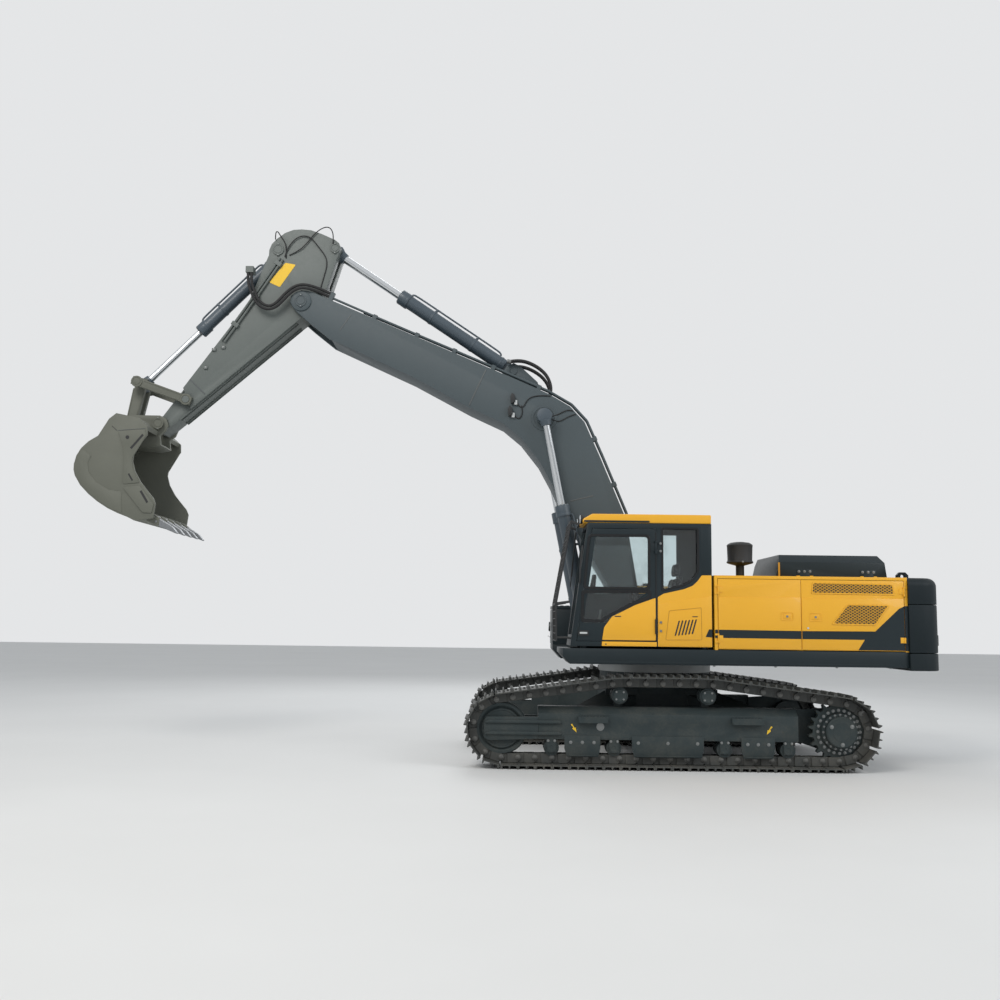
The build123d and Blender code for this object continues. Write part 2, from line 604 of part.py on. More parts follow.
def build_upper():
    keep("main_frame", main_frame())
    keep("counterweight", counterweight())
    keep("engine_block", box((-2900, -2080), (-340, 700), (1700 + GAP, 2300)))
    # fixed body: top deck round the hood box, its walls and the front wall
    low, high = DECK_TOP + GAP, BODY_TOP
    rear = SEAM_WEIGHT + GAP
    top = box((rear, SEAM_CAB), (-DECK_INNER, DECK_HALF_WIDTH), (high - PANEL, high))
    top += box((rear, -1440), (-DECK_HALF_WIDTH, -DECK_INNER + 1), (high - PANEL, high))
    hood_hole = ((HOOD_REAR + 100, HOOD_FRONT - 100), (HOOD_RIGHT + 100, HOOD_LEFT - 100))
    top -= box(*hood_hole, (high - 90, high + 5))
    top += box((SEAM_CAB - PANEL, SEAM_CAB), (WEB_OFFSET + 60, DECK_HALF_WIDTH), (low, high))
    top += box((rear, rear + PANEL), (WEB_OFFSET + 60, DECK_HALF_WIDTH), (low, high))
    top += box((rear, rear + PANEL), (-DECK_HALF_WIDTH, -WEB_OFFSET - 60), (low, high))
    top += box((PUMP_DOOR_FRONT, PUMP_DOOR_FRONT + PANEL), (-DECK_HALF_WIDTH, -WEB_OFFSET - 60), (low, high))
    post_y = (DECK_HALF_WIDTH - 130, DECK_HALF_WIDTH - PANEL - 8)
    top += box((SEAM_DOORS - 30, SEAM_DOORS + 30), post_y, (low, high))
    top += box((SEAM_CAB - PANEL, SEAM_CAB), (-WEB_OFFSET - 60, WEB_OFFSET + 60), (2260, high))
    # hood that stands above the deck, over a sill; it tips open to the left
    inset = PANEL + 30
    sill = [(low + inset, high - inset) for low, high in ((HOOD_REAR, HOOD_FRONT), (HOOD_RIGHT, HOOD_LEFT))]
    rim = box(*sill, (BODY_TOP + GAP, BODY_TOP + 60))
    rim -= box(*[(low + 25, high - 25) for low, high in sill], (BODY_TOP - 5, BODY_TOP + 65))
    keep("hood_sill", rim)
    axle = (HOOD_LEFT + CAB_HINGE["stand"], HOOD_HINGE_HEIGHT)
    spans = [(-x - 112, 112 - x) for x in HOOD_HINGE_PLACES]
    foot = ((BODY_TOP - 1 - HOOD_HINGE_HEIGHT, 0), both(CAB_HINGE["knuckle"] - 3))
    leaf, frame = hinge(CAB_HINGE, spans, foot)
    turn = Pos(0, *axle) * Rot(0, -90, 0)
    keep("hood_lid", fused(hood_form(0) - hood_form(PANEL), *[turn * part for part in leaf]))
    top = fused(top, *[turn * part for part in frame])
    # side doors, left: two leaves that meet in the middle; one on the right
    door_y = (DECK_HALF_WIDTH - PANEL, DECK_HALF_WIDTH)
    door_z = (DECK_TOP + 12, BODY_TOP - PANEL - SHUT_GAP)
    front_edge, rear_edge = SEAM_CAB - PANEL - SHUT_GAP, rear + PANEL + SHUT_GAP
    spans = ((door_z[0] + 80, door_z[0] + 200), (door_z[1] - 200, door_z[1] - 80))
    stand = BODY_HINGE["stand"]
    jamb = ((-JAMB_REACH, 0), (-stand - 1, STRAP - stand))
    leaf, frame = hinge(BODY_HINGE, spans, jamb)
    outer = DECK_HALF_WIDTH + stand
    # (node, (low, high) along X, X of the hinge, which way the leaf lies, side)
    doors = (
        ("side_door_front", (SEAM_DOORS + SHUT_GAP / 2, front_edge), front_edge, -1, 1),
        ("side_door_rear", (rear_edge, SEAM_DOORS - SHUT_GAP / 2), rear_edge, 1, 1),
        ("pump_door", (rear_edge, PUMP_DOOR_FRONT - SHUT_GAP), rear_edge, 1, -1),
    )
    for name, door_x, place, way, side in doors:
        panel = box(door_x, door_y, door_z)
        halves = []
        for group in (leaf, frame):
            turned = [mirror(part, Plane.YZ) if way < 0 else part for part in group]
            halves.append([Pos(place, outer, 0) * part for part in turned])
        if side < 0:
            panel = mirror_y(panel)
            halves = [[mirror_y(part) for part in group] for group in halves]
        keep(name, fused(panel, *halves[0]))
        top = fused(top, *halves[1])
    keep("engine_body", top)
    # tanks and tool box on the right
    right = (-DECK_HALF_WIDTH, -DECK_INNER)
    keep("hydraulic_tank", hollow_box((-1430, -640), (right[0], right[1] - GAP), (low, 2470), TANK_SKIN))
    tools = box((TOOL_BOX_REAR, DECK_FRONT), right, (low, TOOL_BOX_TOP))
    room = ((TOOL_BOX_REAR + 25, DECK_FRONT - 25), (right[0] + 25, right[1] - 25))
    tools -= box(*room, (low + 25, TOOL_BOX_TOP + 10))
    keep("tool_box", tools)
    # the lid's hinges reach forward from the fuel tank
    lid_low = TOOL_BOX_TOP + SHUT_GAP
    place = (TOOL_BOX_REAR + 6, lid_low + LID_THICK + BODY_HINGE["stand"])
    behind = ((FUEL_TANK_FRONT - 1 - place[0], 0), (4 - BODY_HINGE["knuckle"], BODY_HINGE["knuckle"]))
    spans = [(middle - 60, middle + 60) for middle in (DECK_INNER + 120, DECK_HALF_WIDTH - 120)]
    leaf, frame = hinge(BODY_HINGE, spans, behind)
    turn = Pos(place[0], 0, place[1]) * Rot(90, 0, 0)
    lid = box((TOOL_BOX_REAR, DECK_FRONT), right, (lid_low, lid_low + LID_THICK))
    keep("tool_box_lid", fused(lid, *[turn * part for part in leaf]))
    tank = hollow_box((-630, FUEL_TANK_FRONT), right, (low, 2400), TANK_SKIN)
    keep("fuel_tank", fused(tank, *[turn * part for part in frame]))
    # pre-cleaner and exhaust
    stem = round_z((-1150, 420), 62, (BODY_TOP + GAP, 2690))
    bowl = round_z((-1150, 420), 185, (2690, 2940)) + round_z((-1150, 420), 150, (2940, 3000))
    keep("air_precleaner", stem + bowl)
    pipe = round_z((-2700, -900), 62, (BODY_TOP + GAP, 2900))
    pipe -= round_z((-2700, -900), 55, (2600, 2905))
    keep("exhaust_pipe", pipe)


# ------------------------------------------------------------------------ cab
def cab_front(z):
    """X of the sloping front of the cab at a height."""
    share = (z - CAB_FLOOR) / (CAB_CEILING - CAB_FLOOR)
    return CAB_FOOT_FRONT + share * (CAB_HEAD_FRONT - CAB_FOOT_FRONT)


def build_cab():
    outline = [(CAB_REAR, CAB_FLOOR), (CAB_FOOT_FRONT, CAB_FLOOR)]
    outline += [(CAB_HEAD_FRONT, CAB_CEILING), (CAB_REAR, CAB_CEILING)]
    wall = CAB_WALL
    inside = [(CAB_REAR + wall, CAB_FLOOR + wall), (cab_front(CAB_FLOOR + wall) - wall, CAB_FLOOR + wall)]
    inside += [(CAB_HEAD_FRONT - wall, CAB_CEILING + 5), (CAB_REAR + wall, CAB_CEILING + 5)]
    shell = slab_xz(outline, (CAB_INNER, CAB_OUTER))
    shell -= slab_xz(inside, (CAB_INNER + wall, CAB_OUTER - wall))
    # windscreen opening
    low, high = CAB_FLOOR + 140, CAB_CEILING - 60
    shell -= box((CAB_HEAD_FRONT - 140, CAB_FOOT_FRONT + 50), (CAB_INNER + 75, CAB_OUTER - 75), (low, high))
    # rear window and right-hand window
    rear_window = ((CAB_INNER + 110, CAB_OUTER - 110), (2560, CAB_CEILING - 90))
    shell -= box((CAB_REAR - 10, CAB_REAR + wall + 10), *rear_window)
    right_window = [(CAB_REAR + 330, 2250), (cab_front(2250) - 120, 2250)]
    right_window += [(cab_front(3060) - 120, 3060), (CAB_REAR + 330, 3060)]
    shell -= slab_xz(right_window, (CAB_INNER - 10, CAB_INNER + wall + 10))
    # door opening, and the quarter window behind it
    door_hole = [(DOOR_REAR, CAB_FLOOR + 60), (cab_front(CAB_FLOOR + 60) - 70, CAB_FLOOR + 60)]
    door_hole += [(cab_front(3080) - 70, 3080), (DOOR_REAR, 3080)]
    shell -= slab_xz(door_hole, (CAB_OUTER - wall - 10, CAB_OUTER + 10))
    quarter = [(-375, 2530), (-300, 2420), (-180, 2345), (97, 2272), (97, 3085), (-375, 3085)]
    shell -= slab_xz(quarter, (CAB_OUTER - wall - 10, CAB_OUTER + 10))
    for x in (CAB_REAR + 90, CAB_FOOT_FRONT - 180):
        for y in (CAB_INNER + 90, CAB_OUTER - 90):
            shell += round_z((x, y), 45, (DECK_TOP + GAP, CAB_FLOOR + 5))
    roof = [(CAB_REAR, CAB_CEILING + GAP), (CAB_HEAD_FRONT + 60, CAB_CEILING + GAP)]
    roof += [(CAB_HEAD_FRONT + 60, CAB_CEILING + 50), (CAB_HEAD_FRONT - 60, CAB_ROOF_TOP)]
    roof.append((CAB_REAR, CAB_ROOF_TOP))
    keep("cab_roof", slab_xz(roof, (CAB_INNER, CAB_OUTER)))

    # door, as thick as the wall, with an upper and a lower window
    gap = SHUT_GAP
    sill, head = CAB_FLOOR + 60 + gap, 3080 - gap
    door = [(DOOR_REAR + gap, sill), (cab_front(sill) - 70 - gap, sill)]
    door += [(cab_front(head) - 70 - gap, head), (DOOR_REAR + gap, head)]
    leaf = slab_xz(door, (CAB_OUTER - CAB_WALL, CAB_OUTER))
    upper = [(DOOR_REAR + 100, 2300), (cab_front(2300) - 130, 2300)]
    upper += [(cab_front(2980) - 130, 2980), (DOOR_REAR + 100, 2980)]
    leaf -= slab_xz(upper, (CAB_OUTER - CAB_WALL - 5, CAB_OUTER + 5))
    lower = [(cab_front(1845) - 420, 1845), (cab_front(1845) - 130, 1845)]
    lower += [(cab_front(2240) - 130, 2240), (DOOR_REAR + 130, 2240)]
    leaf -= slab_xz(lower, (CAB_OUTER - CAB_WALL - 5, CAB_OUTER + 5))
    jamb = ((-JAMB_REACH, 0), (-CAB_HINGE["stand"] - 1, STRAP - CAB_HINGE["stand"]))
    halves = hinge(CAB_HINGE, CAB_HINGE_SPANS, jamb)
    place = Pos(DOOR_REAR + gap, CAB_OUTER + CAB_HINGE["stand"], 0)
    keep("cab_door", fused(leaf, *[place * part for part in halves[0]]))
    keep("cab_shell", fused(shell, *[place * part for part in halves[1]]))
    pane_y = (CAB_OUTER - CAB_WALL / 2 - GLASS / 2, CAB_OUTER - CAB_WALL / 2 + GLASS / 2)
    keep("cab_door_glass", slab_xz(upper, pane_y), slab_xz(lower, pane_y))

    tilt = (CAB_FOOT_FRONT - CAB_HEAD_FRONT) / (CAB_CEILING - CAB_FLOOR)
    front = [(cab_front(low) - 30, low + GAP), (cab_front(low) - 30 + GLASS, low + GAP)]
    front += [(cab_front(high) - 30 + GLASS, high - GAP), (cab_front(high) - 30, high - GAP)]
    panes = [slab_xz(front, (CAB_INNER + 75 + GAP, CAB_OUTER - 75 - GAP))]
    panes.append(slab_xz(right_window, (CAB_INNER + 27, CAB_INNER + 27 + GLASS)))
    panes.append(slab_xz(quarter, pane_y))
    panes.append(box((CAB_REAR + 27, CAB_REAR + 27 + GLASS), *rear_window))
    keep("cab_glass", *panes)

    # guard in front of the windscreen: a frame with upright bars, on brackets
    top, bottom = (1235, 3105), (1480, 2080)
    reach = direction(top, bottom)[0]
    half = GUARD_BAR / 2
    span = (CAB_INNER + 25, CAB_OUTER - 25)
    bars = []
    for place in (0, 0.5 * reach, reach):
        bars.append(box((place - half, place + half), span, both(half)))
    uprights = 7
    for i in range(uprights):
        y = span[0] + half + (span[1] - span[0] - 2 * half) * i / (uprights - 1)
        thick = half if i in (0, uprights - 1) else half / 3
        bars.append(box((0, reach), (y - thick, y + thick), both(thick)))
    frame = laid(bars[0], top, bottom)
    for bar in bars[1:]:
        frame += laid(bar, top, bottom)
    rest = [(cab_front(2090) + GAP, 2090), (cab_front(2090) + 20, 2090)]
    rest += [(cab_front(2160) + 20, 2160), (cab_front(2160) + GAP, 2160)]
    for y in (span[0] + half, span[1] - half):
        frame += box((CAB_HEAD_FRONT + 60 + GAP, 1240), (y - half, y + half), (3155, 3185))
        frame += box((1215, 1245), (y - half, y + half), (3090, 3185))
        frame += box((cab_front(2140) + 8, 1470), (y - half, y + half), (2110, 2140))
        frame += slab_xz(rest, (y - half, y + half))
    keep("windscreen_guard", frame)

    floor = CAB_FLOOR + CAB_WALL + GAP
    middle = (CAB_INNER + CAB_OUTER) / 2
    stand = box((-60, 330), (middle - 210, middle + 210), (floor, floor + 260))
    keep("seat_base", stand)
    cushion = box((-110, 400), (middle - 240, middle + 240), (floor + 260 + GAP, floor + 400))
    cushion += slab_xz([(-110, floor + 390), (10, floor + 390), (-90, floor + 1060), (-210, floor + 1060)],
                       (middle - 230, middle + 230))
    keep("seat", cushion)
    consoles = []
    for side in (-1, 1):
        y = middle + side * 295
        console = box((-60, 480), (y - 45, y + 45), (floor, floor + 470))
        console += round_z((430, y), 16, (floor + 460, floor + 680))
        consoles.append(console)
    keep("cab_consoles", *consoles)


# ------------------------------------------------------------ work equipment
# The boom's back, from its foot to its tip, as (X, Z).
BOOM_BACK = [
    (250.0, 2210.0), (420.0, 3230.0), (469.0, 3395.0), (805.0, 4196.0), (1030.0, 4703.0),
    (1240.0, 4930.0), (1557.0, 5113.0), (2501.0, 5519.0), (3717.0, 6025.0), (4793.0, 6486.0),
    (5000.0, 6575.0),
]


def boom():
    """Bent box boom: foot sleeve, cylinder bosses, arm-cylinder bracket, fork."""
    outline = [(190, 2100)] + BOOM_BACK + [
        (5156, 6600), (5300, 6520), (5316, 6420), (5240, 6300), (5046, 6133), (4734, 5888),
        (3514, 5334), (2679, 4890), (2189, 4666), (1925, 4448), (1661, 4113), (1490, 3801),
        (1285, 3376), (470, 2010), (330, 1925), (230, 1960),
    ]
    body = hollow_xz(outline, BOOM_HALF, BOOM_WALL)
    # the fork at the tip is open for the arm
    fork = [(4400, 6020), (4300, 6272), (4793, 6486), (5156, 6600), (5316, 6420), (4734, 5888)]
    for side in (-1, 1):
        span = sorted((side * (BOOM_HALF - BOOM_EAR), side * (BOOM_HALF - 5)))
        body += slab_xz(fork, span)
    slot = [(4700, 6150), (4480, 6380), (4700, 6700), (5400, 6700), (5500, 6300), (5060, 5900), (4700, 5850)]
    filling = [(4400, 6020), (4300, 6272), (4480, 6345), (4760, 6150), (4734, 5900)]
    body += slab_xz(filling, both(BOOM_HALF - 5))
    body -= slab_xz(slot, both(BOOM_HALF - BOOM_EAR))
    boss_half = BOOM_CYLINDER_PLACE - BOOM_CYLINDER["width"] / 2 - SIDE_GAP
    body += round_y(BOOM_CYLINDER_HEAD, 112, both(boss_half))
    body += round_y(BOOM_FOOT, 145, both(FOOT_INNER - GAP))
    # bracket of the arm cylinder's foot
    eye_half = ARM_CYLINDER["width"] / 2 + SIDE_GAP
    ear = [(1640, 5140), (1700, 5330), (1950, 5560), (2050, 5610), (2150, 5570), (2250, 5400)]
    ear += [(2700, 5560), (2700, 5500), (1900, 5200)]
    for side in (-1, 1):
        body += slab_xz(ear, sorted((side * eye_half, side * (eye_half + 40))))
    body -= round_y(ARM_CYLINDER_FOOT, PIN_CYLINDER + RUNNING, both(200))
    body -= round_y(ARM_PIN, PIN_ARM + RUNNING, both(BOOM_HALF + 50))
    body -= round_y(BOOM_FOOT, PIN_BOOM_FOOT + RUNNING, both(WEB_OFFSET))
    return body


def arm():
    outline = [
        (4619, 7281), (4642, 7345), (4705, 7395), (4900, 7482), (5060, 7538), (5200, 7549),
        (5320, 7540), (5440, 7492), (5560, 7400), (5632, 7318), (5665, 7230), (5668, 7150),
        (5946, 6415), (6912, 5041), (7120, 4746), (7268, 4640), (7240, 4520), (7130, 4488),
        (6945, 4640), (5186, 6192), (5040, 6300), (4822, 6612), (4735, 6900),
    ]
    half = ARM_HALF
    body = hollow_xz(outline, half, ARM_WALL)
    # thicker plates and castings round the pins
    hub = [(4900, 6420), (5010, 6640), (5300, 6640), (5340, 6400), (5186, 6210), (5050, 6310)]
    body += slab_xz(hub, both(half))
    head = [(4640, 7281), (4710, 7350), (5115, 7520), (5290, 7515), (5625, 7290), (5640, 7150), (5720, 6950)]
    head += [(5905, 6480), (5870, 6440), (5640, 6640), (5480, 6850), (4900, 6850), (4750, 6950)]
    body += slab_xz(head, both(half))
    tip = [(6640, 5250), (6800, 5120), (6900, 5041), (7110, 4740), (7260, 4635), (7230, 4525), (7130, 4495)]
    tip += [(6950, 4650), (6500, 5040)]
    body += slab_xz(tip, both(half))
    # narrower nose for the bucket's ears
    nose = [(6650, 4700), (6900, 5300), (7500, 4700), (7100, 4300)]
    for side in (-1, 1):
        body -= slab_xz(nose, sorted((side * ARM_NOSE_HALF, side * (half + 20))))
    # slots between the ears of the two cylinders
    eye_half = ARM_CYLINDER["width"] / 2 + SIDE_GAP
    slot = [(4300, 7700), (4300, 6500), (4760, 6560), (4860, 6900), (4905, 7380), (4950, 7440)]
    slot += [(5010, 7500), (5010, 7700)]
    body -= slab_xz(slot, both(eye_half))
    eye_half = BUCKET_CYLINDER["width"] / 2 + SIDE_GAP
    slot = [(5440, 7750), (5380, 7300), (5440, 7080), (5735, 6700), (5990, 6440), (6200, 7000), (5900, 7750)]
    body -= slab_xz(slot, both(BUCKET_CYLINDER["barrel"] + 12))
    for side in (-1, 1):
        span = sorted((side * eye_half, side * (BUCKET_CYLINDER["barrel"] + 14)))
        body += round_y(BUCKET_CYLINDER_FOOT, 95, span)
    body -= round_y(ARM_PIN, PIN_ARM + RUNNING, both(half + 20))
    body -= round_y(BUCKET_CYLINDER_FOOT, PIN_CYLINDER + RUNNING, both(half + 20))
    body -= round_y(GUIDE_PIN, PIN_BUCKET + RUNNING, both(half + 20))
    body -= round_y(BUCKET_PIN, PIN_BUCKET + RUNNING, both(half + 20))
    return body


def stood_off(points, distance):
    """A line of (X, Z) points moved to its left by a distance, corners mitred."""
    moved = []
    for i, point in enumerate(points):
        before = points[max(i - 1, 0)], points[max(i, 1)]
        after = points[min(i, len(points) - 2)], points[min(i + 1, len(points) - 1)]
        a, b = radians(direction(*before)[1]), radians(direction(*after)[1])
        reach = distance / cos((b - a) / 2)
        moved.append((point[0] - reach * sin((a + b) / 2), point[1] + reach * cos((a + b) / 2)))
    return moved


def tube(points, radius, bend):
    """A round tube along (X, Y, Z) points, with bends of one radius."""
    route = FilletPolyline(*points, radius=bend)
    return sweep(Plane(origin=route @ 0, z_dir=route % 0) * Circle(radius), path=route)


def hose(points):
    """A tube whose bends are as wide as its runs allow."""
    bends = []
    for before, corner, after in zip(points, points[1:], points[2:]):
        run_in, run_out = Vector(*corner) - Vector(*before), Vector(*after) - Vector(*corner)
        turn = radians(run_in.get_angle(run_out))
        bends.append(0.45 * min(run_in.length, run_out.length) / tan(turn / 2))
    print("bend radii of a hose of radius", HOSE, "are", [round(bend) for bend in bends])
    return tube(points, HOSE, bends)


def clamp(start, end, distance, height, y):
    """A pipe clamp that stands on the line from start to end."""
    length = direction(start, end)[0]
    block = box((distance * length - CLAMP_HALF, distance * length + CLAMP_HALF), y, (GAP, height))
    return laid(block, start, end)


def build_pipes():
    """Hard pipes along the boom's back and the arm's side, and their hoses."""
    back = BOOM_BACK[1:-1]
    line = stood_off(back, PIPE_STAND)
    tip = along(line[-1], line[-2], 60)
    pieces = []
    for y in (PIPE_PLACE, -PIPE_PLACE):
        pieces.append(tube([(x, y, z) for x, z in line[:-1] + [tip]], PIPE, 120))
    for y in (PIPE_PLACE - 60, 60 - PIPE_PLACE):
        pieces.append(tube([(x, y, z) for x, z in line[:-2] + [along(line[-2], line[-1], 600)]], PIPE, 120))
    # clamps: (span of the boom's back, share of the span)
    for span, share in ((0, 0.12), (1, 0.5), (2, 0.5), (5, 0.15), (5, 0.85), (6, 0.35), (6, 0.8), (7, 0.35)):
        for side in (-1, 1):
            y = sorted((side * (PIPE_PLACE - 85), side * (PIPE_PLACE + 25)))
            pieces.append(clamp(back[span], back[span + 1], share, PIPE_STAND + PIPE + 8, y))
    # block that the hoses to the arm leave from
    reach = direction(back[-2], back[-1])[0] - 60
    for side in (-1, 1):
        y = sorted((side * (PIPE_PLACE - 26), side * (PIPE_PLACE + 32)))
        share = reach / (reach + 60)
        pieces.append(clamp(back[-2], back[-1], share, PIPE_STAND + HOSE_PITCH + HOSE + 8, y))
    keep("boom_pipes", fused(*pieces))

    side_y = ARM_HALF + PIPE + 8
    run = [(5455, 7080), (5930, 6330), (6260, 5830)]
    arm_pipes = []
    for shift in (0, 46):
        line = stood_off(run, shift)
        arm_pipes.append(tube([(x, side_y, z) for x, z in line], PIPE, 150))
    for start, end, share in ((run[0], run[1], 0.1), (run[0], run[1], 0.75), (run[1], run[2], 0.5)):
        length = direction(start, end)[0]
        block = box((share * length - CLAMP_HALF, share * length + CLAMP_HALF),
                    (ARM_HALF + GAP, side_y + PIPE + 6), (-30, 76))
        arm_pipes.append(laid(block, start, end))
    # block that the hoses from the boom end at
    tall = (HOSE_TOP[1] + GAP, HOSE_TOP[1] + 90)
    block_x = (HOSE_TOP[0] - HOSE_PITCH - HOSE - 10, HOSE_TOP[0] + HOSE + 12)
    arm_pipes.append(box(block_x, (ARM_HALF + GAP, HOSE_PLACE + HOSE + 8), tall))
    keep("arm_pipes", *fused(arm_pipes[0], *arm_pipes[1:]).solids())

    # hoses from the boom's pipes over the arm's pin: (X, Y, Z)
    start = along(back[-2], back[-1], reach + CLAMP_HALF + GAP, PIPE_STAND)
    ahead = along(back[-2], back[-1], reach + CLAMP_HALF + GAP + 110, PIPE_STAND)
    middle = (PIPE_PLACE + HOSE_PLACE) / 2
    route = [(*start, PIPE_PLACE), (*ahead, PIPE_PLACE), (4950, 6594, middle)]
    route += [(x, z, HOSE_PLACE) for x, z in HOSE_SWEEP] + [(*HOSE_TOP, HOSE_PLACE)]
    flat = [(x, z) for x, z, _ in route]
    hoses = []
    for shift in (0, HOSE_PITCH):
        line = stood_off(flat, shift)
        hoses.append(hose([(x, y, z) for (x, z), (_, _, y) in zip(line, route)]))
    keep("arm_hoses", *hoses)


def barrel(size, foot, head, y=0.0):
    """Cylinder barrel: foot eye, tube and gland."""
    tube = round_x((0, 0), size["barrel"], (EYE_NECK, size["gland"] - 60))
    tube += box((40, EYE_NECK + 5), both(size["width"] / 2), both(size["barrel"] * 0.8))
    tube += round_x((0, 0), size["barrel"] + 14, (size["gland"] - 150, size["gland"]))
    tube += round_y((0, 0), size["eye"], both(size["width"] / 2))
    tube -= round_y((0, 0), PIN_CYLINDER + RUNNING, both(size["width"]))
    tube -= round_x((0, 0), size["rod"] + RUNNING, (220, size["gland"] + 5))
    return laid(tube, foot, head, y)


def rod(size, foot, head, y=0.0):
    """Piston rod with its eye; it starts inside the barrel at the piston."""
    reach = direction(foot, head)[0]
    bar = round_x((0, 0), size["rod"], (reach - size["closed"] + 260, reach - 40))
    bar += round_y((reach, 0), size["eye"], both(size["width"] / 2))
    return laid(bar, foot, head, y)


def build_front():
    keep("boom", boom())
    keep("arm", arm())
    sides = (BOOM_CYLINDER_PLACE, -BOOM_CYLINDER_PLACE)
    lifting = (BOOM_CYLINDER, BOOM_CYLINDER_FOOT, BOOM_CYLINDER_HEAD)
    keep("boom_cylinder_barrels", *[barrel(*lifting, y) for y in sides])
    keep("boom_cylinder_rods", *[rod(*lifting, y) for y in sides])
    # (node, sizes, foot pin, head pin)
    singles = (
        ("arm_cylinder", ARM_CYLINDER, ARM_CYLINDER_FOOT, ARM_CYLINDER_HEAD),
        ("bucket_cylinder", BUCKET_CYLINDER, BUCKET_CYLINDER_FOOT, LINK_PIN),
    )
    for name, *cylinder in singles:
        keep(name + "_barrel", barrel(*cylinder))
        keep(name + "_rod", rod(*cylinder))

    # pins: in the upper, in the boom and in the arm
    foot_half = BOOM_CYLINDER["width"] / 2 + SIDE_GAP + 34
    pins = [round_y(BOOM_FOOT, PIN_BOOM_FOOT, both(FOOT_OUTER + 5))]
    for y in sides:
        pins.append(round_y(BOOM_CYLINDER_FOOT, PIN_CYLINDER, (y - foot_half - 8, y + foot_half + 8)))
    keep("frame_pins", *pins)
    arm_foot_half = ARM_CYLINDER["width"] / 2 + SIDE_GAP + 40
    keep("boom_pins", round_y(ARM_PIN, PIN_ARM, both(BOOM_HALF + 20)),
         round_y(ARM_CYLINDER_FOOT, PIN_CYLINDER, both(arm_foot_half + 12)))
    ear_out = BUCKET_EAR_PLACE + BUCKET_EAR / 2
    keep("arm_pins", round_y(BUCKET_CYLINDER_FOOT, PIN_CYLINDER, both(ARM_HALF + 12)),
         round_y(GUIDE_PIN, PIN_BUCKET, both(ARM_HALF + 75)),
         round_y(BUCKET_PIN, PIN_BUCKET, both(ear_out + 14)))

    # guide links outside the arm, joined by their cross pin
    outline = [along(GUIDE_PIN, LINK_PIN, -75, 60), along(GUIDE_PIN, LINK_PIN, -75, -60)]
    length = direction(GUIDE_PIN, LINK_PIN)[0]
    outline += [along(GUIDE_PIN, LINK_PIN, length + 75, -60), along(GUIDE_PIN, LINK_PIN, length + 75, 60)]
    guides = []
    for side in (-1, 1):
        span = sorted((side * (ARM_HALF + 8), side * (ARM_HALF + 58)))
        guides.append(slab_xz(outline, span) - round_y(GUIDE_PIN, PIN_BUCKET + RUNNING, both(ARM_HALF + 80)))
    cross = round_y(LINK_PIN, PIN_BUCKET, both(ARM_HALF + 70))
    cross -= box((7300, 7700), both(BUCKET_CYLINDER["width"] / 2 + SIDE_GAP), (5000, 5450))
    linkage = guides[0] + guides[1] + cross
    keep("guide_links", linkage)

    # push link: two plates and a cross tube, from the guide links to the bucket
    eye_half = BUCKET_CYLINDER["width"] / 2 + SIDE_GAP
    length = direction(LINK_PIN, BUCKET_LINK_PIN)[0]
    outline = [along(LINK_PIN, BUCKET_LINK_PIN, -90, 80), along(LINK_PIN, BUCKET_LINK_PIN, -90, -80)]
    for edge in (-70, 70):
        outline.append(along(LINK_PIN, BUCKET_LINK_PIN, length + 80, edge))
    plates = slab_xz(outline, (eye_half + 2, eye_half + 72))
    plates += slab_xz(outline, (-eye_half - 72, -eye_half - 2))
    plates += round_y(BUCKET_LINK_PIN, 85, both(BUCKET_EAR_PLACE - BUCKET_EAR / 2 - SIDE_GAP))
    plates -= round_y(LINK_PIN, PIN_BUCKET + RUNNING, both(300))
    keep("push_link", plates)

    build_bucket()


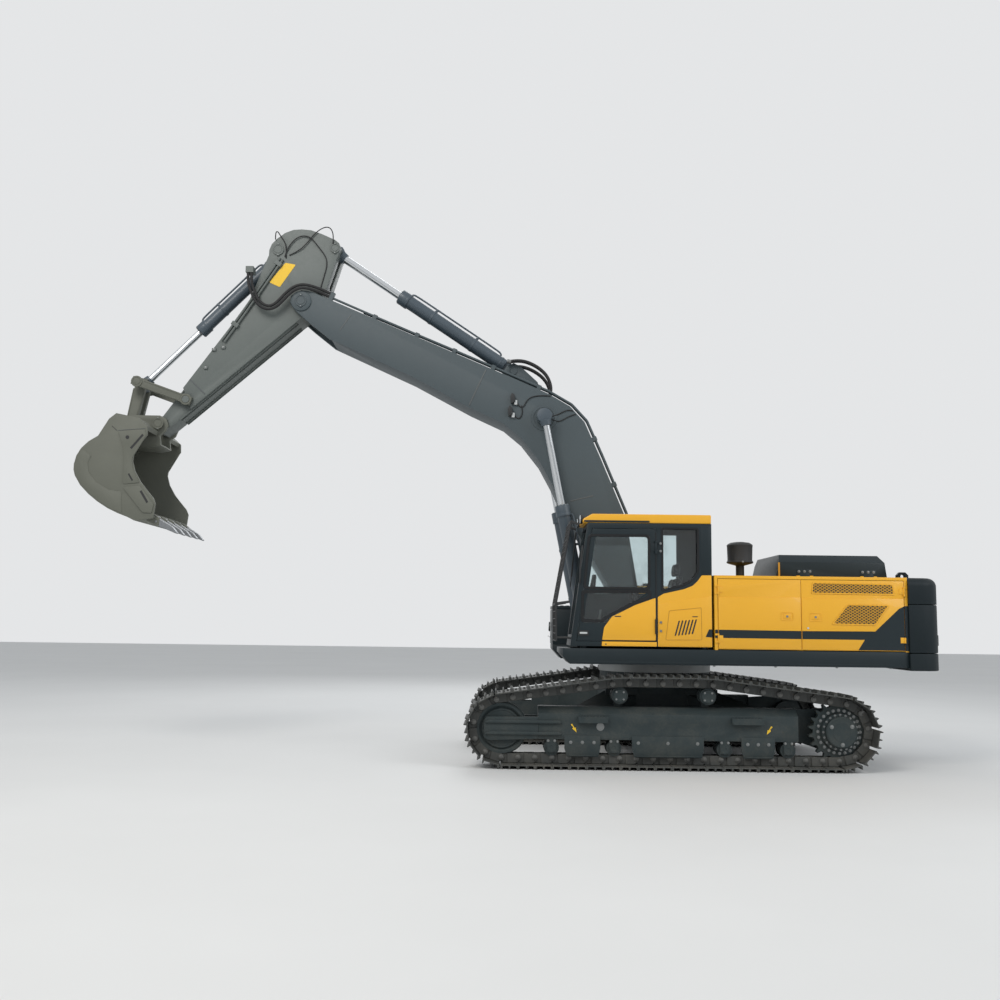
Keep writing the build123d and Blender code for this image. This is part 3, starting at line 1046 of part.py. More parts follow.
def build_bucket():
    """Welded bucket: side plates, wrapped back, lip, ears; teeth apart."""
    outer = [
        (7143, 4481), (7272, 4599), (7582, 4662), (7680, 4581), (7820, 4340), (7945, 4262),
        (8044, 4165), (8105, 4058), (8133, 3939), (8133, 3860), (8112, 3781), (8028, 3645),
        (7906, 3521), (7775, 3418), (7631, 3328), (7490, 3262), (7352, 3210), (7258, 3163),
        (7000, 3200),
    ]
    front = [(6977, 3402), (7011, 3480), (7110, 3595), (7195, 3700), (7282, 3850), (7322, 3990)]
    front += [(7310, 4100), (7262, 4200), (7138, 4360)]
    shell = slab_xz(outer + front, both(BUCKET_HALF))
    skin = BUCKET_SKIN + 8
    inner = [
        (7180, 4440), (7290, 4540), (7560, 4615), (7640, 4550), (7785, 4315), (7912, 4232),
        (8010, 4138), (8070, 4040), (8098, 3930), (8098, 3865), (8077, 3796), (7995, 3668),
        (7880, 3550), (7753, 3450), (7615, 3362), (7475, 3298), (7340, 3246), (7200, 3210),
        (6900, 3235), (6700, 3600), (7000, 4500), (7150, 4500),
    ]
    shell -= slab_xz(inner, both(BUCKET_HALF - skin))
    # pocket between the ears, for the arm's nose and the push link
    ear_in = BUCKET_EAR_PLACE - BUCKET_EAR / 2
    ear_out = BUCKET_EAR_PLACE + BUCKET_EAR / 2
    floor = [(7120, 4300), (7250, 4270), (7700, 4290), (7860, 4310)]
    walls = floor + [(7680, 4581), (7582, 4655), (7272, 4592), (7143, 4475)]
    shell += slab_xz(walls, both(ear_out))
    room = [(x, z + BUCKET_SKIN) for x, z in floor] + [(7900, 4900), (7000, 4900), (7000, 4300)]
    shell -= slab_xz(room, both(ear_in))
    ears = [(7025, 4600), (7060, 4695), (7150, 4738), (7560, 4740), (7690, 4700), (7740, 4600), (7700, 4480)]
    ears += [(7450, 4400), (7200, 4400), (7060, 4510)]
    for side in (-1, 1):
        shell += slab_xz(ears, sorted((side * ear_in, side * ear_out)))
    shell -= round_y(BUCKET_PIN, PIN_BUCKET + RUNNING, both(400))
    shell -= round_y(BUCKET_LINK_PIN, PIN_BUCKET + RUNNING, both(400))
    keep("bucket", shell)
    pin_half = BUCKET_EAR_PLACE + BUCKET_EAR / 2 + 14
    gap_half = BUCKET_EAR_PLACE - BUCKET_EAR / 2
    keep("bucket_pins", round_y(BUCKET_LINK_PIN, PIN_BUCKET, (gap_half, pin_half)),
         round_y(BUCKET_LINK_PIN, PIN_BUCKET, (-pin_half, -gap_half)))
    teeth = []
    for i in range(5):
        y = -640 + 320 * i
        tooth = [(7050, 3150), (7050, 3240), (6900, 3190), (6690, 3020), (6685, 2990), (6900, 3070)]
        teeth.append(slab_xz(tooth, (y - 60, y + 60)) - slab_xz(outer + front, both(BUCKET_HALF)))
    keep("bucket_teeth", *teeth)


def build_undercarriage():
    keep("centre_frame", centre_frame())
    keep("track_frames", track_frame(1), track_frame(-1))
    keep("track_left", track(1))
    keep("track_right", track(-1))
    keep("idlers", idler(1), idler(-1))
    keep("sprockets", sprocket(1), sprocket(-1))
    keep("track_rollers", *[bottom_roller(x, side) for side in (1, -1) for x in ROLLER_PLACES])
    keep("carrier_rollers", *[carrier_roller(x, side) for side in (1, -1) for x in CARRIER_PLACES])
    ring = round_z((0, 0), SLEW_RADIUS, (SLEW_BOTTOM, DECK_BOTTOM - 4 - GAP))
    ring -= round_z((0, 0), SLEW_RADIUS - 160, (SLEW_BOTTOM - 5, DECK_BOTTOM))
    keep("slew_ring", ring)


build_undercarriage()
build_upper()
build_cab()
build_front()
build_pipes()

os.makedirs("parts", exist_ok=True)
for node, shape in NODES.items():
    export_step(shape, os.path.join("parts", node + ".step"))
print(len(NODES), "nodes written")
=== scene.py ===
import math
import bpy
from mathutils import Matrix, Vector


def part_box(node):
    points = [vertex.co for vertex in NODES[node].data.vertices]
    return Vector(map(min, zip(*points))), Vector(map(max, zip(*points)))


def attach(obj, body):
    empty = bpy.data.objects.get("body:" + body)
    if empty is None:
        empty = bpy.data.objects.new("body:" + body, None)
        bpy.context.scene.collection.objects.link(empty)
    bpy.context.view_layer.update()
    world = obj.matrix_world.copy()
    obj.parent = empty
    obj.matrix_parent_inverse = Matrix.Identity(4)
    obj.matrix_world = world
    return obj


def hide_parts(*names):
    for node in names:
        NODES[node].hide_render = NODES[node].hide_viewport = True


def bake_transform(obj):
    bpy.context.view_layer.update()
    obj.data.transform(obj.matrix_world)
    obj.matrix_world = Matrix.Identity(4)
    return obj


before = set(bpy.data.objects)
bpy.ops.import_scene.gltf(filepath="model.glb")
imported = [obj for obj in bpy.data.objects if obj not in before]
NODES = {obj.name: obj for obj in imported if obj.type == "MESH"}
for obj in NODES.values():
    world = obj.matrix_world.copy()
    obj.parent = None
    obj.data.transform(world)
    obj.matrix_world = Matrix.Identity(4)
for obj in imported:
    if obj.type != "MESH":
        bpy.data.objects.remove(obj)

# Looks of the crawler excavator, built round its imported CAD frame, in metres.
# +X is forward, towards the bucket, +Y is the cab's side, and +Z is up.

bl_info = {
    "name": "Crawler excavator",
    "version": (1, 0, 0),
    "blender": (4, 5, 0),
    "location": "View3D > Sidebar > Excavator",
    "description": "Builds the looks of a crawler excavator on its packed frame",
    "category": "Object",
}

# Pins as (X, Z)
BOOM_FOOT = (0.330, 2.070)
BOOM_CYLINDER_FOOT, BOOM_CYLINDER_HEAD = (0.960, 1.490), (1.611, 4.757)
ARM_PIN = (5.156, 6.436)
ARM_CYLINDER_FOOT, ARM_CYLINDER_HEAD = (2.050, 5.490), (4.697, 7.263)
BUCKET_CYLINDER_FOOT = (5.533, 7.232)
GUIDE_PIN, LINK_PIN = (6.772, 4.968), (7.492, 5.224)
BUCKET_PIN, PUSH_PIN = (7.153, 4.608), (7.610, 4.620)

# Side faces, as distances from the middle
DECK_SIDE, CAB_SIDE, CAB_SKIN = 1.450, 1.471, 1.440
BOOM_SIDE, ARM_SIDE, BUCKET_SIDE = 0.330, 0.250, 0.785

# Angles under which faces shade smooth
SMOOTH, HOSE_SMOOTH, PAD_SMOOTH = (math.radians(angle) for angle in (38, 50, 60))

# Seat pads: remesh cell, pressure, frames of cloth and share of stuffing
PAD_VOXEL, PAD_PRESSURE, PAD_FRAMES, PAD_FILL = 0.006, 4.0, 20, 0.7

# Counterweight: castings as (low, high), and its rear as an arc in plan
CASTINGS = ((0.0, 1.500), (1.506, 2.130), (2.136, 4.0))
REAR_RADIUS, REAR_CENTRE = 7.0, 3.350

HOSE_GAP = 0.048

# Camera and stage
LENS, SENSOR = 38.0, 36.0
CAMERA_PLACE = (2.19, 15.24, 1.84)
YAW, PITCH, ROLL = -0.0025, 0.115, 0.0127
FLOOR_SIZE = 120.0


# ------------------------------------------------------------------ properties
class ExcavatorSizes(bpy.types.PropertyGroup):
    edge: bpy.props.FloatProperty(
        name="Edge", description="Rounding of a welded plate's edges", default=0.006, unit="LENGTH")
    panel_edge: bpy.props.FloatProperty(
        name="Panel edge", description="Rounding of a sheet panel's edges", default=0.010, unit="LENGTH")
    bolt: bpy.props.FloatProperty(
        name="Bolt", description="Radius of a bolt's head", default=0.015, unit="LENGTH")
    hose: bpy.props.FloatProperty(
        name="Hose", description="Radius of a large hydraulic hose", default=0.021, unit="LENGTH")
    thin_hose: bpy.props.FloatProperty(
        name="Thin hose", description="Radius of a grease line", default=0.008, unit="LENGTH")
    shoe_count: bpy.props.IntProperty(
        name="Shoes", description="Shoes in one track", default=51, min=20, max=80)
    gauge: bpy.props.FloatProperty(
        name="Gauge", description="Centre to centre of the tracks", default=2.74, unit="LENGTH")
    wheel_height: bpy.props.FloatProperty(
        name="Wheel height", description="Height of the idler and the sprocket", default=0.4915,
        unit="LENGTH")
    tumblers: bpy.props.FloatProperty(
        name="Tumblers", description="Sprocket centre to idler centre", default=4.34, unit="LENGTH")


class ExcavatorColours(bpy.types.PropertyGroup):
    yellow: bpy.props.FloatVectorProperty(
        name="Yellow", description="Body panels", default=(0.80, 0.40, 0.012), subtype="COLOR")
    slate: bpy.props.FloatVectorProperty(
        name="Slate", description="Deck, cab frame and weight", default=(0.010, 0.018, 0.022),
        subtype="COLOR")
    grey: bpy.props.FloatVectorProperty(
        name="Grey", description="Boom and arm", default=(0.058, 0.076, 0.084), subtype="COLOR")
    arm: bpy.props.FloatVectorProperty(
        name="Arm", description="Arm plates", default=(0.112, 0.128, 0.121), subtype="COLOR")
    barrel: bpy.props.FloatVectorProperty(
        name="Barrel", description="Hydraulic cylinders", default=(0.052, 0.072, 0.090), subtype="COLOR")
    olive: bpy.props.FloatVectorProperty(
        name="Olive", description="Bucket and its links", default=(0.118, 0.123, 0.100), subtype="COLOR")
    track: bpy.props.FloatVectorProperty(
        name="Track", description="Shoes and links", default=(0.040, 0.044, 0.043), subtype="COLOR")
    dust: bpy.props.FloatVectorProperty(
        name="Dust", description="Dust that has settled", default=(0.21, 0.185, 0.145), subtype="COLOR")


def sizes():
    return bpy.context.scene.excavator_sizes


def colours():
    return bpy.context.scene.excavator_colours


# --------------------------------------------------------------- shape helpers
def only(obj):
    """Makes one object the selected and active one."""
    bpy.ops.object.select_all(action="DESELECT")
    obj.select_set(True)
    bpy.context.view_layer.objects.active = obj


def with_modifier(obj, kind, **settings):
    """Adds a modifier, sets it up and applies it."""
    only(obj)
    modifier = obj.modifiers.new(kind.title(), kind)
    for key, value in settings.items():
        setattr(modifier, key, value)
    bpy.ops.object.modifier_apply(modifier=modifier.name)
    return obj


def soften(obj, width, segments=2, angle=30):
    """Rounds the sharp edges and shades the rest smooth."""
    if width:
        with_modifier(obj, "BEVEL", width=width, segments=segments, limit_method="ANGLE",
                      angle_limit=math.radians(angle), use_clamp_overlap=True)
    only(obj)
    bpy.ops.object.shade_smooth_by_angle(angle=SMOOTH)
    return obj


def in_edit(obj, *steps):
    """Runs edit-mode steps on the whole of a mesh."""
    only(obj)
    bpy.ops.object.mode_set(mode="EDIT")
    bpy.ops.mesh.select_all(action="SELECT")
    for step in steps:
        step()
    bpy.ops.object.mode_set(mode="OBJECT")
    return obj


def outward():
    bpy.ops.mesh.select_all(action="SELECT")
    bpy.ops.mesh.normals_make_consistent(inside=False)


def plate(outline, span, axis="y", bevel=0.003, segments=2):
    """A plate between two values along an axis; the outline's pairs are the other two."""
    bpy.ops.object.select_all(action="DESELECT")
    bpy.ops.mesh.primitive_circle_add(vertices=len(outline), fill_type="NGON")
    obj = bpy.context.object
    index = "xyz".index(axis)
    for vertex, pair in zip(obj.data.vertices, outline):
        place = list(pair)
        place.insert(index, span[0])
        vertex.co = place
    step = [0, 0, 0]
    step[index] = span[1] - span[0]
    in_edit(obj, lambda: bpy.ops.mesh.extrude_region_move(TRANSFORM_OT_translate={"value": step}), outward)
    return soften(obj, bevel, segments)


def block(x, y, z, bevel=0.003, segments=2):
    return plate([(x[0], z[0]), (x[1], z[0]), (x[1], z[1]), (x[0], z[1])], y, "y", bevel, segments)


def rounded(points, radius, steps=4):
    """An outline with each corner replaced by a short curve."""
    result = []
    for before, corner, after in zip(points[-1:] + points[:-1], points, points[1:] + points[:1]):
        corner = Vector(corner)
        ends = []
        for other in (before, after):
            run = Vector(other) - corner
            ends.append(corner + run.normalized() * min(radius, run.length * 0.45))
        for i in range(steps + 1):
            t = i / steps
            result.append(tuple(ends[0] * (1 - t) ** 2 + corner * 2 * t * (1 - t) + ends[1] * t ** 2))
    return result


def bar(start, end, radius, sides=24, bevel=0.002, end_radius=None):
    """A round or many-sided bar from one point to another."""
    start, end = Vector(start), Vector(end)
    bpy.ops.object.select_all(action="DESELECT")
    bpy.ops.mesh.primitive_cone_add(vertices=sides, radius1=radius, depth=(end - start).length,
                                    radius2=radius if end_radius is None else end_radius)
    obj = bpy.context.object
    turn = Vector((0, 0, 1)).rotation_difference(end - start).to_matrix().to_4x4()
    obj.data.transform(Matrix.Translation((start + end) / 2) @ turn)
    return soften(obj, bevel)


def lathe(profile, centre, axis="y", steps=40, bevel=0.0):
    """A turned solid: (offset along the axis, radius) pairs; it is closed at both ends."""
    outline = [(profile[0][0], 0.0)] + list(profile) + [(profile[-1][0], 0.0)]
    bpy.ops.object.select_all(action="DESELECT")
    bpy.ops.mesh.primitive_circle_add(vertices=len(outline), fill_type="NOTHING")
    obj = bpy.context.object
    index = "xyz".index(axis)
    across = (index + 1) % 3
    for vertex, (offset, radius) in zip(obj.data.vertices, outline):
        place = Vector(centre)
        place[index] += offset
        place[across] += radius
        vertex.co = place
    way = [0, 0, 0]
    way[index] = 1
    in_edit(
        obj,
        lambda: bpy.ops.mesh.spin(steps=steps, angle=2 * math.pi, center=centre, axis=way),
        lambda: bpy.ops.mesh.select_all(action="SELECT"),
        lambda: bpy.ops.mesh.remove_doubles(threshold=1e-5),
        outward,
    )
    return soften(obj, bevel)


def spline_curve(points, resolution):
    """A smooth curve that starts and ends on its first and last points."""
    curve = bpy.data.curves.new("line", "CURVE")
    curve.dimensions = "3D"
    curve.resolution_u = resolution
    spline = curve.splines.new("NURBS")
    spline.points.add(len(points) - 1)
    for point, place in zip(spline.points, points):
        point.co = (*place, 1)
    spline.order_u = 3
    spline.use_endpoint_u = True
    obj = bpy.data.objects.new("line", curve)
    bpy.context.collection.objects.link(obj)
    return obj


def tube(points, radius, ring=3):
    """A smooth hose or pipe along points, turned into a mesh."""
    obj = spline_curve(points, 6)
    obj.data.bevel_depth = radius
    obj.data.bevel_resolution = ring
    obj.data.use_fill_caps = True
    only(obj)
    bpy.ops.object.convert(target="MESH")
    obj = bpy.context.object
    bpy.ops.object.shade_smooth_by_angle(angle=HOSE_SMOOTH)
    return obj


def copied(obj, matrix=None):
    """A copy with a mesh of its own, moved by a matrix."""
    twin = obj.copy()
    twin.data = obj.data.copy()
    if matrix is not None:
        twin.data.transform(matrix)
        if matrix.determinant() < 0:
            twin.data.flip_normals()
    bpy.context.collection.objects.link(twin)
    return twin


def mirrored(obj, keep=True):
    """The same thing on the other side of the middle, joined to it if kept."""
    twin = copied(obj, Matrix.Scale(-1, 4, (0, 1, 0)))
    return joined([obj, twin]) if keep else twin


def joined(parts):
    bpy.ops.object.select_all(action="DESELECT")
    for part in parts:
        part.select_set(True)
    bpy.context.view_layer.objects.active = parts[0]
    if len(parts) > 1:
        bpy.ops.object.join()
    return bpy.context.view_layer.objects.active


def cut(obj, cutter):
    """Takes a closed shape out of another, and removes the cutter."""
    with_modifier(obj, "BOOLEAN", operation="DIFFERENCE", object=cutter, solver="EXACT")
    bpy.data.objects.remove(cutter)
    return obj


def painted(obj, material):
    obj.data.materials.clear()
    obj.data.materials.append(MATERIALS[material])
    return obj


def painted_where(obj, material, test):
    """Gives the faces whose middle passes a test another material."""
    obj.data.materials.append(MATERIALS[material])
    index = len(obj.data.materials) - 1
    for polygon in obj.data.polygons:
        if test(polygon.center):
            polygon.material_index = index
    return obj


def refined(node, width=None, segments=2, angle=30):
    """A copy of a CAD node with joined faces and rounded edges."""
    source = NODES[node]
    obj = source.copy()
    obj.data = source.data.copy()
    obj.parent = None
    obj.matrix_world = Matrix.Identity(4)
    bpy.context.collection.objects.link(obj)
    only(obj)
    bpy.ops.mesh.customdata_custom_splitnormals_clear()
    in_edit(
        obj,
        lambda: bpy.ops.mesh.remove_doubles(threshold=2e-5),
        lambda: bpy.ops.mesh.dissolve_limited(angle_limit=math.radians(0.8)),
    )
    return soften(obj, sizes().edge if width is None else width, segments, angle)


def bolts(places, way, radius=None, height=0.010, washer=True):
    """Hexagon heads on washers at places, standing out along a direction."""
    radius = radius or sizes().bolt
    way = Vector(way).normalized()
    parts = [bar((0, 0, 0), way * height, radius, sides=6, bevel=0.0015)]
    if washer:
        parts.append(bar((0, 0, 0), way * height * 0.3, radius * 1.45, sides=18, bevel=0.0))
    head = joined(parts)
    heads = [copied(head, Matrix.Translation(place)) for place in places]
    bpy.data.objects.remove(head)
    return joined(heads)


def ring_places(centre, radius, count, axis="y", first=0.0):
    """Places on a circle about an axis."""
    index = "xyz".index(axis)
    places = []
    for i in range(count):
        angle = first + 2 * math.pi * i / count
        place = [radius * math.cos(angle), radius * math.sin(angle)]
        place.insert(index, 0.0)
        places.append(Vector(centre) + Vector(place))
    return places


def weld(points, radius=0.006):
    """A low weld bead along points."""
    return painted(tube(points, radius, ring=1), "weld")


def finished(obj, name, body, replaces=()):
    """Names a piece, hangs it on its body and hides the CAD parts it replaces."""
    obj.name = name
    obj.data.name = name
    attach(obj, body)
    if replaces:
        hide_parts(*replaces)
    return obj


# ------------------------------------------------------------------- materials
MATERIALS = {}


class Net:
    """Adds nodes to a tree and links what they are given."""

    def __init__(self, tree):
        self.tree = tree

    def add(self, kind, inputs=None, **settings):
        node = self.tree.nodes.new(kind)
        for key, value in settings.items():
            setattr(node, key, value)
        for key, value in (inputs or {}).items():
            self.set(node, key, value)
        return node

    def set(self, node, key, value):
        socket = node.inputs[key]
        if isinstance(value, bpy.types.NodeSocket):
            self.tree.links.new(value, socket)
        else:
            socket.default_value = value

    def math(self, operation, first, second=0.0, clamp=False):
        node = self.add("ShaderNodeMath", {0: first, 1: second}, operation=operation)
        node.use_clamp = clamp
        return node.outputs[0]

    def step(self, value, low, high):
        """0 below low, 1 above high, smooth between."""
        node = self.add("ShaderNodeMapRange", {"Value": value, "From Min": low, "From Max": high})
        node.interpolation_type = "SMOOTHSTEP"
        return node.outputs["Result"]

    def noise(self, vector, scale, detail=4.0, rough=0.55):
        node = self.add("ShaderNodeTexNoise", {"Vector": vector, "Scale": scale, "Detail": detail,
                                               "Roughness": rough})
        return node.outputs["Fac"]

    def blend(self, share, first, second):
        node = self.add("ShaderNodeMix", data_type="RGBA")
        for index, value in ((0, share), (6, first), (7, second)):
            self.set(node, index, value)
        return node.outputs[2]


def new_group(name, inputs, outputs):
    """A shader group with its sockets; returns its net, its input node and its output node."""
    tree = bpy.data.node_groups.new(name, "ShaderNodeTree")
    for label, kind in inputs:
        tree.interface.new_socket(label, in_out="INPUT", socket_type=kind)
    for label, kind in outputs:
        tree.interface.new_socket(label, in_out="OUTPUT", socket_type=kind)
    net = Net(tree)
    return net, net.add("NodeGroupInput"), net.add("NodeGroupOutput")


def mottling_group():
    """Fine and broad unevenness of a painted surface, around a half."""
    net, given, out = new_group(
        "Mottling", [("Vector", "NodeSocketVector"), ("Scale", "NodeSocketFloat")],
        [("Fine", "NodeSocketFloat"), ("Broad", "NodeSocketFloat")])
    net.set(out, "Fine", net.noise(given.outputs["Vector"],
                                   net.math("MULTIPLY", given.outputs["Scale"], 14.0), 6.0))
    net.set(out, "Broad", net.noise(given.outputs["Vector"], given.outputs["Scale"], 3.0))
    return net.tree


def dust_group():
    """Where dust lies: low down, on faces that look up, and in patches."""
    net, given, out = new_group(
        "Dust", [("Vector", "NodeSocketVector"), ("Normal", "NodeSocketVector"),
                 ("Amount", "NodeSocketFloat")],
        [("Mask", "NodeSocketFloat")])
    place = net.add("ShaderNodeSeparateXYZ", {0: given.outputs["Vector"]})
    facing = net.add("ShaderNodeSeparateXYZ", {0: given.outputs["Normal"]})
    low = net.step(place.outputs["Z"], 1.7, 0.1)
    up = net.step(facing.outputs["Z"], 0.35, 0.95)
    patches = net.step(net.noise(given.outputs["Vector"], 3.2, 7.0, 0.62), 0.38, 0.66)
    fine = net.step(net.noise(given.outputs["Vector"], 38.0, 3.0), 0.3, 0.7)
    sum_ = net.math("ADD", net.math("MULTIPLY", low, 0.75), net.math("MULTIPLY", up, 0.45))
    held = net.math("MULTIPLY", sum_, net.math("ADD", net.math("MULTIPLY", patches, 0.75), 0.25))
    grain = net.math("MULTIPLY", held, net.math("ADD", net.math("MULTIPLY", fine, 0.5), 0.6))
    net.set(out, "Mask", net.math("MULTIPLY", grain, given.outputs["Amount"], clamp=True))
    return net.tree


def scuff_group():
    """Thin scratches and worn spots."""
    net, given, out = new_group(
        "Scuffs", [("Vector", "NodeSocketVector"), ("Amount", "NodeSocketFloat")],
        [("Mask", "NodeSocketFloat")])
    stretched = net.add("ShaderNodeMapping", {"Vector": given.outputs["Vector"], "Scale": (1.0, 1.0, 9.0)})
    scratches = net.step(net.noise(stretched.outputs[0], 26.0, 8.0, 0.7), 0.64, 0.74)
    spots = net.step(net.noise(given.outputs["Vector"], 55.0, 5.0, 0.65), 0.66, 0.74)
    both = net.math("MAXIMUM", scratches, spots)
    net.set(out, "Mask", net.math("MULTIPLY", both, given.outputs["Amount"], clamp=True))
    return net.tree


def relief_group():
    """The skin's own roughness as a normal."""
    net, given, out = new_group(
        "Relief", [("Vector", "NodeSocketVector"), ("Scale", "NodeSocketFloat"),
                   ("Strength", "NodeSocketFloat")],
        [("Normal", "NodeSocketVector")])
    height = net.noise(given.outputs["Vector"], given.outputs["Scale"], 5.0, 0.6)
    bump = net.add("ShaderNodeBump", {"Height": height, "Strength": given.outputs["Strength"],
                                      "Distance": 0.002})
    net.set(out, "Normal", bump.outputs["Normal"])
    return net.tree


def shade(value, factor):
    return tuple(min(1.0, v * factor) for v in value) + (1.0,)


def surface(name, colour, roughness=0.45, metallic=0.0, dust=0.35, scuff=0.15, scuff_colour=None,
            scale=1.6, relief=90.0, bump=0.12, spread=0.12, coat=0.0, shine=0.5):
    """A worn, dusty surface on object coordinates."""
    material = bpy.data.materials.new(name)
    material.use_nodes = True
    net = Net(material.node_tree)
    shader = material.node_tree.nodes["Principled BSDF"]
    place = net.add("ShaderNodeTexCoord").outputs["Object"]
    normal = net.add("ShaderNodeNewGeometry").outputs["Normal"]
    groups = bpy.data.node_groups
    mottling = net.add("ShaderNodeGroup", node_tree=groups["Mottling"])
    net.set(mottling, "Vector", place)
    net.set(mottling, "Scale", scale)
    dusty = net.add("ShaderNodeGroup", node_tree=groups["Dust"])
    for key, value in (("Vector", place), ("Normal", normal), ("Amount", dust)):
        net.set(dusty, key, value)
    scuffed = net.add("ShaderNodeGroup", node_tree=groups["Scuffs"])
    net.set(scuffed, "Vector", place)
    net.set(scuffed, "Amount", scuff)
    skin = net.add("ShaderNodeGroup", node_tree=groups["Relief"])
    for key, value in (("Vector", place), ("Scale", relief), ("Strength", bump)):
        net.set(skin, key, value)
    tone = net.blend(mottling.outputs["Broad"], shade(colour, 1 - spread), shade(colour, 1 + spread))
    tone = net.blend(net.math("MULTIPLY", mottling.outputs["Fine"], 0.35), tone,
                     shade(colour, 1 + 1.5 * spread))
    tone = net.blend(scuffed.outputs["Mask"], tone, tuple(scuff_colour or shade(colour, 1.9)[:3]) + (1.0,))
    tone = net.blend(dusty.outputs["Mask"], tone, tuple(colours().dust) + (1.0,))
    net.set(shader, "Base Color", tone)
    rough = net.math("ADD", roughness, net.math("MULTIPLY", mottling.outputs["Fine"], 0.16))
    net.set(shader, "Roughness", net.math("ADD", rough, net.math("MULTIPLY", dusty.outputs["Mask"], 0.4),
                                          clamp=True))
    shader.inputs["Metallic"].default_value = metallic
    shader.inputs["Coat Weight"].default_value = coat
    shader.inputs["Specular IOR Level"].default_value = shine
    net.set(shader, "Normal", skin.outputs["Normal"])
    MATERIALS[name] = material


def glass_material(name, colour, roughness=0.03):
    """Tinted window glass: plain transmission, with a few smears."""
    material = bpy.data.materials.new(name)
    material.use_nodes = True
    net = Net(material.node_tree)
    shader = material.node_tree.nodes["Principled BSDF"]
    place = net.add("ShaderNodeTexCoord").outputs["Object"]
    smears = net.step(net.noise(place, 5.0, 5.0), 0.45, 0.8)
    net.set(shader, "Base Color", net.blend(smears, tuple(colour) + (1.0,), shade(colour, 0.86)))
    net.set(shader, "Roughness", net.math("ADD", net.math("MULTIPLY", smears, 0.10), roughness))
    shader.inputs["Metallic"].default_value = 0.0
    shader.inputs["Transmission Weight"].default_value = 1.0
    shader.inputs["IOR"].default_value = 1.45
    MATERIALS[name] = material


def cloth_material(name, colour):
    """Woven seat cloth."""
    material = bpy.data.materials.new(name)
    material.use_nodes = True
    net = Net(material.node_tree)
    shader = material.node_tree.nodes["Principled BSDF"]
    place = net.add("ShaderNodeTexCoord").outputs["Object"]
    threads = []
    for way in ("X", "Z"):
        wave = net.add("ShaderNodeTexWave", {"Vector": place, "Scale": 150.0, "Distortion": 0.6},
                       bands_direction=way)
        threads.append(wave.outputs["Fac"])
    weave = net.math("MULTIPLY", threads[0], threads[1])
    patches = net.noise(place, 7.0, 4.0)
    tone = net.blend(weave, shade(colour, 0.6), shade(colour, 1.5))
    net.set(shader, "Base Color", net.blend(net.math("MULTIPLY", patches, 0.4), tone, shade(colour, 2.2)))
    net.set(shader, "Roughness", 0.93)
    shader.inputs["Sheen Weight"].default_value = 0.3
    bump = net.add("ShaderNodeBump", {"Height": weave, "Strength": 0.4, "Distance": 0.001})
    net.set(shader, "Normal", bump.outputs["Normal"])
    MATERIALS[name] = material


